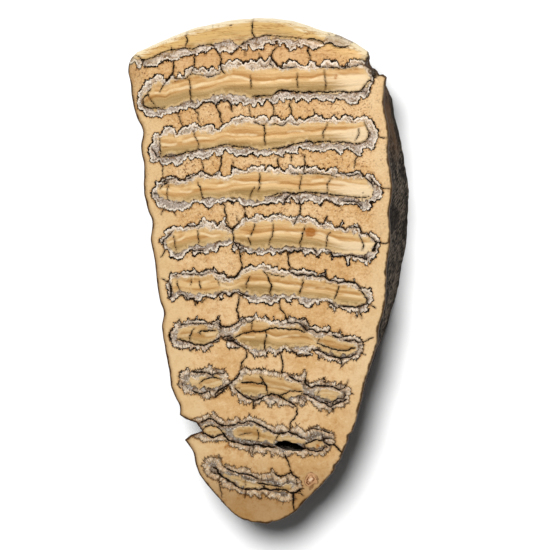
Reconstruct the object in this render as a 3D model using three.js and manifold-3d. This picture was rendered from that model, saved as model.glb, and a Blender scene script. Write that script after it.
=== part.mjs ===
// Polished section of a woolly mammoth molar: one slab of tooth, sawn flat behind, ground and
// polished in front, lying on its sawn back. Millimetres, +Z out of the polished face, +Y along
// the tooth from the narrow tip to the broad end, origin under the middle of the slab.
import * as THREE from 'three';
import { mergeVertices } from 'three/addons/utils/BufferGeometryUtils.js';
import Module from 'manifold-3d';

const THICKNESS = 26; // sawn back to the middle of the polished face
const FACE_CROWN = 0.6; // how far the face falls from its middle line to its long edges
const TIP_FALL = 3; // how far hand grinding has dropped the face at the narrow tip
const TIP_FALL_FROM = -30; // y where that fall starts
const LENGTH_TO_TIP = 70.2; // middle of the slab to the narrow tip

const EDGE_ROLL = 0.8; // radius of the polished-over edge along the sides
const BROAD_END_ROLL = 6; // radius of the heavily rolled broad end

const FLANK_FLARE = 2.6; // how far the natural flank stands out at the back, mid-length
const FLANK_TUCK = 3; // how far it tucks under at both ends
const FLARE_MIDDLE = 17; // y of the widest part of the flank
const FLARE_REACH = 60; // length over which flare turns to tuck
const RIB_HEIGHT = 0.1; // a faint rib down the flank at each enamel plate
const PLATE_PITCH = 13.4; // spacing of the enamel plates
const PLATE_AT = 22.5; // y of one plate's middle, the others follow at the pitch

const FISSURE_DEPTH = 12; // the open hole in the crack near the tip

const OUTLINE_STEP = 2.3; // spacing of points round the outline
const FLANK_REACH = 7; // points to each side that set which way the flank leans
const EVENED_OVER = 3; // points to each side over which the rim's bumps even out lower down
const EVENED_BY = 0.6; // level by which they have
const FLANK_LEVELS = [0, 0.15, 0.35, 0.55, 0.75, 0.9, 1]; // rim to back
const ROLL_STEPS = 5; // rows round the rolled edge
const FACE_STEPS = 8; // steps across the face from its right edge to its left edge

// The outline of the polished face in stretches, anticlockwise from the tip.
const RIGHT_OF_TIP = [
  [1, -70.2], [5, -68.9], [9, -66.6], [11.9, -63.4], [15, -60.5], [18, -57.3], [20, -55],
  [20.7, -53.4], [22.1, -51.4],
];
const LOWER_RIGHT = [[22.1, -51.4], [23.3, -48], [24.1, -46.2], [24, -45.2], [25.1, -44.2]];
const RIGHT_SIDE = [
  [25.1, -44.2], [26.4, -40], [27.7, -35], [28.8, -30], [30.5, -25], [31.9, -20], [32.6, -15],
  [34, -10], [34.4, -5], [34.6, 1], [35.5, 7], [35.5, 12], [35.3, 16], [36.1, 22], [35.7, 27],
  [35, 32], [35.2, 38], [34.2, 43], [33.8, 48], [34.5, 52.9],
];
const BROKEN_CORNER = [
  [34.5, 52.9], [33.4, 53.9], [32.3, 53.8], [31.9, 54.7], [31.2, 55.4], [30, 55.7],
  [29, 56.5], [29.2, 57.7], [29.8, 58.8], [29.5, 60],
];
const BROAD_END = [
  [29.5, 60], [25, 63], [20, 65.4], [15, 66.9], [8, 69.3], [0, 70.3], [-8, 70], [-15, 68.8],
  [-20, 67.7], [-25, 65.8], [-30, 63.7], [-35.3, 61],
];
const LEFT_SIDE = [
  [-35.3, 61], [-37.2, 59], [-38, 56], [-37.3, 52.5], [-36.8, 48], [-35.6, 43], [-33.7, 38.8],
  [-34.3, 34.5], [-33.4, 29], [-33.5, 23], [-32.6, 18], [-31, 13.2], [-31.5, 8.8], [-30.4, 3],
  [-29.6, -4], [-28.8, -8.5], [-27.8, -11.6], [-28.3, -16], [-27.3, -22], [-26.2, -28],
  [-25.7, -32], [-24.3, -35.4], [-23.2, -37.6], [-23.2, -40],
];
const NOTCH = [[-23.2, -40], [-21.6, -41.1], [-18.6, -42.2], [-16.9, -44.4], [-20.1, -45.5], [-21.9, -46.9]];
const LEFT_OF_TIP = [
  [-21.9, -46.9], [-19.6, -50.3], [-18.9, -54], [-17, -57.9], [-12.7, -63.1], [-9, -67],
  [-5, -69.4], [1, -70.2],
];

// The open hole in the crack, seen from above.
const FISSURE = [
  [3.4, -48.5], [5, -47.3], [7.3, -47.3], [9.5, -47.9], [11.8, -49.1], [11.2, -50], [8.8, -50.1],
  [6, -49.6],
];

const smoothRise = (value) => THREE.MathUtils.smoothstep(value, 0, 1);

function vectors(points) {
  return points.map(([x, y]) => new THREE.Vector2(x, y));
}

// A worn stretch is a smooth curve, and a broken one runs straight from corner to corner.
function wornStretch(points) {
  const curve = new THREE.SplineCurve(vectors(points));
  return curve.getSpacedPoints(Math.round(curve.getLength() / OUTLINE_STEP)).slice(0, -1);
}

function brokenStretch(points) {
  return vectors(points).slice(0, -1);
}

// Each point of the outline carries the radius of the rolled edge there, the way that it faces,
// and for the flank below it the way that it faces and the point that it evens out to. Both pass
// over small breaks and notches.
function outlineOfFace() {
  const ring = [];
  const add = (points, rollAt) => {
    points.forEach((point, i) => ring.push({ point, roll: rollAt(i / points.length) }));
  };
  const sideRoll = () => EDGE_ROLL;
  const broadRoll = (u) => EDGE_ROLL + (BROAD_END_ROLL - EDGE_ROLL) * Math.sqrt(Math.sin(Math.PI * u));
  add(wornStretch(RIGHT_OF_TIP), sideRoll);
  add(brokenStretch(LOWER_RIGHT), sideRoll);
  add(wornStretch(RIGHT_SIDE), sideRoll);
  add(brokenStretch(BROKEN_CORNER), sideRoll);
  add(wornStretch(BROAD_END), broadRoll);
  add(wornStretch(LEFT_SIDE), sideRoll);
  add(brokenStretch(NOTCH), sideRoll);
  add(wornStretch(LEFT_OF_TIP), sideRoll);
  const neighbour = (i, steps) => ring[(i + steps + ring.length) % ring.length].point;
  const outwardAt = (i, reach) => {
    const chord = neighbour(i, reach).clone().sub(neighbour(i, -reach));
    return new THREE.Vector2(chord.y, -chord.x).normalize();
  };
  ring.forEach((entry, i) => {
    entry.outward = outwardAt(i, 1);
    entry.flankOutward = outwardAt(i, FLANK_REACH);
    entry.evened = new THREE.Vector2();
    for (let steps = -EVENED_OVER; steps <= EVENED_OVER; steps += 1) {
      entry.evened.addScaledVector(neighbour(i, steps), 1 / (2 * EVENED_OVER + 1));
    }
  });
  return ring;
}

function faceHeight(x, y) {
  const tip = smoothRise((TIP_FALL_FROM - y) / (LENGTH_TO_TIP + TIP_FALL_FROM));
  return THICKNESS - FACE_CROWN * (x / 35) ** 2 - TIP_FALL * tip * tip;
}

// How far the flank stands outside the face's edge, at a level from 0 (rim) to 1 (sawn back).
function flankOffset(y, level) {
  const towardsEnds = smoothRise(Math.abs(y - FLARE_MIDDLE) / FLARE_REACH);
  const flare = FLANK_FLARE - (FLANK_FLARE + FLANK_TUCK) * towardsEnds;
  const rib = RIB_HEIGHT * Math.cos((2 * Math.PI * (y - PLATE_AT)) / PLATE_PITCH);
  return flare * level ** 1.4 + rib * level;
}

// The rows of the skin from the sawn back up the flank and over the rolled edge.
function skinRows(ring) {
  const rows = [];
  for (const level of [...FLANK_LEVELS].reverse()) {
    rows.push(ring.map(({ point, roll, flankOutward, evened }) => {
      const place = point.clone().lerp(evened, smoothRise(level / EVENED_BY));
      place.addScaledVector(flankOutward, flankOffset(point.y, level));
      const rimHeight = faceHeight(point.x, point.y) - roll;
      return new THREE.Vector3(place.x, place.y, rimHeight * (1 - level));
    }));
  }
  for (let step = 1; step <= ROLL_STEPS; step += 1) {
    const angle = (Math.PI / 2) * (step / ROLL_STEPS);
    rows.push(ring.map(({ point, roll, outward }) => {
      const place = point.clone().addScaledVector(outward, -roll * (1 - Math.cos(angle)));
      const drop = roll * (1 - Math.sin(angle));
      return new THREE.Vector3(place.x, place.y, faceHeight(place.x, place.y) - drop);
    }));
  }
  return rows;
}

// Joins the rows with triangles and closes the sawn back.
function skinFlank(rows) {
  const count = rows[0].length;
  const faces = [];
  for (let row = 0; row + 1 < rows.length; row += 1) {
    for (let i = 0; i < count; i += 1) {
      const a = row * count + i;
      const b = row * count + ((i + 1) % count);
      faces.push(a, b, b + count, a, b + count, a + count);
    }
  }
  const back = rows[0].map((point) => new THREE.Vector2(point.x, point.y));
  for (const [a, b, c] of THREE.ShapeUtils.triangulateShape(back, [])) {
    faces.push(a, c, b);
  }
  return faces;
}

// Lays the face with rungs across it. The first rung is the tip alone, each later one pairs the
// next point of the right edge with the next of the left edge, and the last closes the broad end.
function layFace(points, edge, faces) {
  const first = points.length - edge.length;
  const last = Math.floor(edge.length / 2);
  let below = new Array(FACE_STEPS + 1).fill(first);
  for (let i = 1; i <= last; i += 1) {
    const right = edge[i];
    const left = edge[edge.length - i];
    const rung = [first + i];
    for (let step = 1; step < FACE_STEPS; step += 1) {
      if (i === last) {
        rung.push(first + i);
      } else {
        const place = right.clone().lerp(left, step / FACE_STEPS);
        place.z = faceHeight(place.x, place.y);
        rung.push(points.push(place) - 1);
      }
    }
    rung.push(first + edge.length - i);
    for (let step = 0; step < FACE_STEPS; step += 1) {
      const corners = [below[step], rung[step], rung[step + 1], below[step + 1]];
      faces.push(...trianglesOf(corners));
    }
    below = rung;
  }
}

// A quad's two triangles, without those that have shrunk to a line.
function trianglesOf([a, b, c, d]) {
  return [[a, b, c], [a, c, d]].filter((corners) => new Set(corners).size === 3).flat();
}

function slabGeometry() {
  const rows = skinRows(outlineOfFace());
  const points = rows.flat();
  const faces = skinFlank(rows);
  layFace(points, rows[rows.length - 1], faces);
  const geometry = new THREE.BufferGeometry().setFromPoints(points);
  geometry.setIndex(faces);
  return geometry;
}

function fissureCutter() {
  const shape = new THREE.Shape();
  shape.moveTo(...FISSURE[0]);
  shape.splineThru(vectors([...FISSURE.slice(1), FISSURE[0]]));
  const cutter = new THREE.ExtrudeGeometry(shape, {
    depth: FISSURE_DEPTH + 1,
    bevelEnabled: false,
    curveSegments: 12,
  });
  cutter.translate(0, 0, THICKNESS - FISSURE_DEPTH);
  cutter.deleteAttribute('normal');
  cutter.deleteAttribute('uv');
  return mergeVertices(cutter);
}

const wasm = await Module();
wasm.setup();

function solidFrom(geometry) {
  return new wasm.Manifold(new wasm.Mesh({
    numProp: 3,
    vertProperties: geometry.attributes.position.array,
    triVerts: new Uint32Array(geometry.index.array),
  }));
}

function geometryFrom(solid) {
  const { vertProperties, triVerts } = solid.getMesh();
  const geometry = new THREE.BufferGeometry();
  geometry.setAttribute('position', new THREE.BufferAttribute(vertProperties, 3));
  geometry.setIndex(new THREE.BufferAttribute(triVerts, 1));
  return geometry;
}

// Puts the middle of the slab's box over the origin, with the sawn back on z = 0.
function centred(geometry) {
  geometry.computeBoundingBox();
  const middle = geometry.boundingBox.getCenter(new THREE.Vector3());
  geometry.translate(-middle.x, -middle.y, 0);
  geometry.computeVertexNormals();
  return geometry;
}

function toothSection() {
  const slab = solidFrom(slabGeometry());
  const geometry = centred(geometryFrom(slab.subtract(solidFrom(fissureCutter()))));
  const material = new THREE.MeshStandardMaterial({ color: 0xc99e6b, roughness: 0.35, metalness: 0 });
  const mesh = new THREE.Mesh(geometry, material);
  mesh.name = 'tooth_section';
  return mesh;
}

const group = new THREE.Group();
group.add(toothSection());

export default group;
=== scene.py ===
import math

import bmesh
import bpy
import numpy as np
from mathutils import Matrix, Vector, geometry, kdtree, noise


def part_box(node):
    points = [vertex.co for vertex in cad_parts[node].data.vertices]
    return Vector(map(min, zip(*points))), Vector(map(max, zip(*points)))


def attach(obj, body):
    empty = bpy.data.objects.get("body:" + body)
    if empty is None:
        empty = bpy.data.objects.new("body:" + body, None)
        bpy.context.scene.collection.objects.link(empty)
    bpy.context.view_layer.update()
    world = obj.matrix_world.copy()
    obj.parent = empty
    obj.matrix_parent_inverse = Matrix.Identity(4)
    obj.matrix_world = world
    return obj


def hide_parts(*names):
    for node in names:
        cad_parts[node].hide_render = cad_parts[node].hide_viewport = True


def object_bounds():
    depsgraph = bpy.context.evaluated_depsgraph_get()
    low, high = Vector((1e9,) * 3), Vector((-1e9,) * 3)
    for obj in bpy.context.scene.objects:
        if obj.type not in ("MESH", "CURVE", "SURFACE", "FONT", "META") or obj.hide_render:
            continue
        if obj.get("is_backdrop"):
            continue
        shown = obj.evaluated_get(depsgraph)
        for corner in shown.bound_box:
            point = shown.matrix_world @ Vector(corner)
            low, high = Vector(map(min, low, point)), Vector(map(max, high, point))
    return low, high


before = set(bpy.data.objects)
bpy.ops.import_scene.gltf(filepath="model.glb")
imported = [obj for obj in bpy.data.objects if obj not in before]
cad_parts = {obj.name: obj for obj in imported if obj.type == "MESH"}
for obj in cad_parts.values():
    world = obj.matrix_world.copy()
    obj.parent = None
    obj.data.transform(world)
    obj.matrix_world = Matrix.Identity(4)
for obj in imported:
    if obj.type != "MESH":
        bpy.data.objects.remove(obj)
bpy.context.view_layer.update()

slab_low, slab_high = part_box("tooth_section")

# =============================================================================================
# The slab's outline. One lengthwise section of a molar, sawn flat behind, ground and polished
# in front. The worn stretches are smooth curves, and the broken ones run from corner to corner.
# All is in millimetres until the finished mesh is turned into metres.
# =============================================================================================

THICKNESS = (slab_high.z - slab_low.z) * 1000
FACE_CROWN = 0.6
CROWN_REACH = 35
TIP_FALL = 3
TIP_FALL_FROM = -30
LENGTH_TO_TIP = 70.2
BROKEN_AWAY = [((29.9, 57.3), 1.2, 2.0), ((31.6, 54.9), 1.2, 1.5), ((33.3, 53.6), 1, 0.8)]
EDGE_ROLL = 0.8
BROAD_END_ROLL = 6
SKIN_STEP = 0.55

RIGHT_OF_TIP = [
    (1, -70.2), (5, -68.9), (9, -66.6), (11.9, -63.4), (15, -60.5), (18, -57.3), (20, -55),
    (20.7, -53.4), (22.1, -51.4),
]
LOWER_RIGHT = [(22.1, -51.4), (23.3, -48), (24.1, -46.2), (24, -45.2), (25.1, -44.2)]
RIGHT_SIDE = [
    (25.1, -44.2), (26.4, -40), (27.7, -35), (28.8, -30), (30.5, -25), (31.9, -20), (32.6, -15),
    (34, -10), (34.4, -5), (34.6, 1), (35.5, 7), (35.5, 12), (35.3, 16), (36.1, 22), (35.7, 27),
    (35, 32), (35.2, 38), (34.2, 43), (33.8, 48), (34.5, 52.9),
]
BROKEN_CORNER = [
    (34.5, 52.9), (33.4, 53.9), (32.3, 53.8), (31.9, 54.7), (31.2, 55.4), (30, 55.7),
    (29, 56.5), (29.2, 57.7), (29.8, 58.8), (29.5, 60),
]
BROAD_END = [
    (29.5, 60), (25, 63), (20, 65.4), (15, 66.9), (8, 69.3), (0, 70.3), (-8, 70), (-15, 68.8),
    (-20, 67.7), (-25, 65.8), (-30, 63.7), (-35.3, 61),
]
LEFT_SIDE = [
    (-35.3, 61), (-37.2, 59), (-38, 56), (-37.3, 52.5), (-36.8, 48), (-35.6, 43), (-33.7, 38.8),
    (-34.3, 34.5), (-33.4, 29), (-33.5, 23), (-32.6, 18), (-31, 13.2), (-31.5, 8.8), (-30.4, 3),
    (-29.6, -4), (-28.8, -8.5), (-27.8, -11.6), (-28.3, -16), (-27.3, -22), (-26.2, -28),
    (-25.7, -32), (-24.3, -35.4), (-23.2, -37.6), (-23.2, -40),
]
NOTCH = [
    (-23.2, -40), (-21.6, -41.1), (-18.6, -42.2), (-16.9, -44.4), (-20.1, -45.5), (-21.9, -46.9),
]
LEFT_OF_TIP = [
    (-21.9, -46.9), (-19.6, -50.3), (-18.9, -54), (-17, -57.9), (-12.7, -63.1), (-9, -67),
    (-5, -69.4), (1, -70.2),
]


def straight_runs(points, step, closed=False):
    """Points at an even step along a line that keeps its corners."""
    corners = [np.array(p, float) for p in points]
    if closed:
        corners.append(corners[0])
    run = []
    for start, end in zip(corners, corners[1:]):
        count = max(1, round(np.linalg.norm(end - start) / step))
        run.extend(start + (end - start) * k / count for k in range(count))
    if not closed:
        run.append(corners[-1])
    return np.array(run)


def smooth_runs(points, step):
    """Points at an even step along a smooth curve through the given ones."""
    corners = [np.array(p, float) for p in points]
    corners = [corners[0]] + corners + [corners[-1]]
    dense = []
    for before, start, end, after in zip(corners, corners[1:], corners[2:], corners[3:]):
        lean_in = (end - before) / 2
        lean_out = (after - start) / 2
        for t in np.linspace(0, 1, 24, endpoint=False):
            rise = t * t * (3 - 2 * t)
            bulge = t * (1 - t) ** 2 * lean_in - t * t * (1 - t) * lean_out
            dense.append(start + (end - start) * rise + bulge)
    dense = np.array(dense + [corners[-1]])
    travelled = np.append(0, np.cumsum(np.linalg.norm(np.diff(dense, axis=0), axis=1)))
    stops = np.linspace(0, travelled[-1], round(travelled[-1] / step) + 1)
    return np.column_stack([np.interp(stops, travelled, dense[:, axis]) for axis in (0, 1)])


def smooth_rise(value):
    value = np.clip(value, 0, 1)
    return value * value * (3 - 2 * value)


def hollow(x, y, spots):
    """Soft round dips at the given places, each with its reach and depth."""
    depth = 0
    for place, reach, deepest in spots:
        away = ((x - place[0]) ** 2 + (y - place[1]) ** 2) / reach ** 2
        depth = depth + deepest * np.exp(-away)
    return depth


def face_height(x, y):
    """The polished face is a little crowned and falls away where the tip was ground by hand."""
    tip = smooth_rise((TIP_FALL_FROM - y) / (LENGTH_TO_TIP + TIP_FALL_FROM))
    crown = FACE_CROWN * (x / CROWN_REACH) ** 2
    return THICKNESS - crown - TIP_FALL * tip * tip - hollow(x, y, BROKEN_AWAY)


outline = []
roll = []
for points, drawn in (
    (RIGHT_OF_TIP, smooth_runs), (LOWER_RIGHT, straight_runs), (RIGHT_SIDE, smooth_runs),
    (BROKEN_CORNER, straight_runs), (BROAD_END, smooth_runs), (LEFT_SIDE, smooth_runs),
    (NOTCH, straight_runs), (LEFT_OF_TIP, smooth_runs),
):
    run = drawn(points, SKIN_STEP)
    for i, point in enumerate(run[:-1]):
        swell = math.sqrt(math.sin(math.pi * i / (len(run) - 1))) if points is BROAD_END else 0
        outline.append(point)
        roll.append(EDGE_ROLL + (BROAD_END_ROLL - EDGE_ROLL) * swell)
outline = np.array(outline)
roll = np.array(roll)

# The edge is finely worn, with a few small nicks: place, reach and depth of each.
EDGE_WEAR = 0.12
EDGE_LOST = 0.06
EDGE_NICKS = [
    ((23.1, -51.3), 0.9, 0.5), ((20.6, -53.9), 0.5, 0.4), ((2.6, -70), 0.5, 0.35),
    ((-4.7, -69.8), 0.6, 0.3), ((33.5, 13), 0.8, 0.3), ((32.9, -20.5), 0.6, 0.25),
]


def outward_from(points, reach):
    """The way that each point of a closed line faces, over some points to each side."""
    chord = np.roll(points, -reach, axis=0) - np.roll(points, reach, axis=0)
    facing = np.column_stack([chord[:, 1], -chord[:, 0]])
    return facing / np.linalg.norm(facing, axis=1)[:, None]


outward = outward_from(outline, 2)
wear = np.array([noise.noise(Vector((x * 0.45, y * 0.45, 3))) for x, y in outline])
for place, reach, depth in EDGE_NICKS:
    wear -= depth / EDGE_WEAR * np.exp(-(np.linalg.norm(outline - place, axis=1) / reach) ** 2)
outline = outline + outward * (EDGE_WEAR * wear - EDGE_LOST)[:, None]
outward = outward_from(outline, 2)

# =============================================================================================
# The natural flank, a rough brown-black skin of old cement. It stands out past the face in the
# middle of the tooth, tucks under at both ends, and has a soft rib at each enamel plate. Coarse
# fibres run along it.
# =============================================================================================

FLANK_FLARE = 2.6
FLANK_TUCK = 3
FLARE_MIDDLE = 17
FLARE_REACH = 60
RIB_HEIGHT = 0.1
PLATE_PITCH = 13.4
PLATE_AT = 22.5
FLANK_LEAN_REACH = 16  # how far to each side sets the way that the flank leans
FLANK_ROWS = 36
DEEPEST_FIBRE = 1.4  # times the usual depth
ROLL_ANGLES = (12, 24, 36, 48)
EVENED_OVER = 6  # the rim's own bumps die out lower down, where it is even over this far
FIBRE_DEPTH = 0.42
FIBRE_COS = 0.91  # the fibres lean a little as they run along the slab
FIBRE_SIN = 0.41

flank_outward = outward_from(outline, round(FLANK_LEAN_REACH / SKIN_STEP))


def flank_offset(y, level):
    """How far the flank stands outside the rim, from 0 at the rim to 1 at the sawn back."""
    towards_ends = smooth_rise(abs(y - FLARE_MIDDLE) / FLARE_REACH)
    flare = FLANK_FLARE - (FLANK_FLARE + FLANK_TUCK) * towards_ends
    rib = RIB_HEIGHT * np.cos(2 * math.pi * (y - PLATE_AT) / PLATE_PITCH)
    return flare * level ** 1.4 + rib * level


around = np.arange(len(outline)) * SKIN_STEP
even_reach = round(EVENED_OVER / SKIN_STEP)
evened = np.mean([np.roll(outline, k, axis=0) for k in range(-even_reach, even_reach)], axis=0)


def fibres(level):
    """Depth of the flank's fibres and pits at each point of the rim."""
    down = level * THICKNESS
    depth = []
    for s, (x, y) in zip(around, outline):
        off_stroke = FIBRE_COS * s - FIBRE_SIN * down
        on_stroke = FIBRE_SIN * s + FIBRE_COS * down
        streak = noise.noise(Vector((off_stroke * 0.5, on_stroke * 0.12, 3)))
        thread = noise.noise(Vector((off_stroke * 1.1, on_stroke * 0.22, 8)))
        lump = noise.noise(Vector((x * 0.18, y * 0.18, down * 0.2)))
        depth.append(0.5 + 0.45 * streak + 0.35 * thread + 0.4 * lump)
    return FIBRE_DEPTH * np.clip(depth, 0, DEEPEST_FIBRE)


def flank_row(level):
    stand = flank_offset(outline[:, 1], level)
    stand = stand - fibres(level) * smooth_rise(level * 12)
    spot = outline + (evened - outline) * smooth_rise(level * 1.6) + flank_outward * stand[:, None]
    height = (face_height(*outline.T) - roll) * (1 - level)
    return np.column_stack([spot, height])


def roll_row(angle):
    """A row of the rolled-over edge, from 0 degrees at the rim to 90 on the face."""
    spot = outline - outward * (roll * (1 - math.cos(angle)))[:, None]
    height = face_height(*spot.T) - roll * (1 - math.sin(angle))
    return np.column_stack([spot, height])


def next_row(tooth, row, places):
    """Draws a closed row of corners out into the next one and puts that in place."""
    edges = [tooth.edges.get(pair) for pair in zip(row, row[1:] + row[:1])]
    made = bmesh.ops.extrude_edge_only(tooth, edges=edges)["geom"]
    fresh = {part for part in made if isinstance(part, bmesh.types.BMVert)}
    drawn = []
    for corner, place in zip(row, places):
        other = next(e.other_vert(corner) for e in corner.link_edges if e.other_vert(corner) in fresh)
        other.co = place
        drawn.append(other)
    return drawn


tooth = bmesh.new()
zone_of = tooth.verts.layers.int.new("zone")
EDGE, FACE, FLANK, BACK, HOLE = range(5)

rim = [tooth.verts.new(place) for place in roll_row(0)]
for pair in zip(rim, rim[1:] + rim[:1]):
    tooth.edges.new(pair)
face_edge = rim
for angle in ROLL_ANGLES:
    face_edge = next_row(tooth, face_edge, roll_row(math.radians(angle)))
back_edge = rim
for level in np.linspace(0, 1, FLANK_ROWS + 1)[1:]:
    back_edge = next_row(tooth, back_edge, flank_row(level))
    for corner in back_edge:
        corner[zone_of] = FLANK

# How far all this has to move for its box to lie where the slab's box is.
whole = np.array([corner.co for corner in tooth.verts])
box_middle = np.array([slab_low.x + slab_high.x, slab_low.y + slab_high.y]) * 500
to_frame = box_middle - (whole.min(0)[:2] + whole.max(0)[:2]) / 2

# =============================================================================================
# The enamel plates. Each is a flat loop of enamel round a core of dentine, cut through by the
# section, with cement between one plate and the next. The enamel is crimped, so its outer edge
# runs in small teeth, and towards the tip the plates pinch into two or three lenses.
# =============================================================================================

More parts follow.
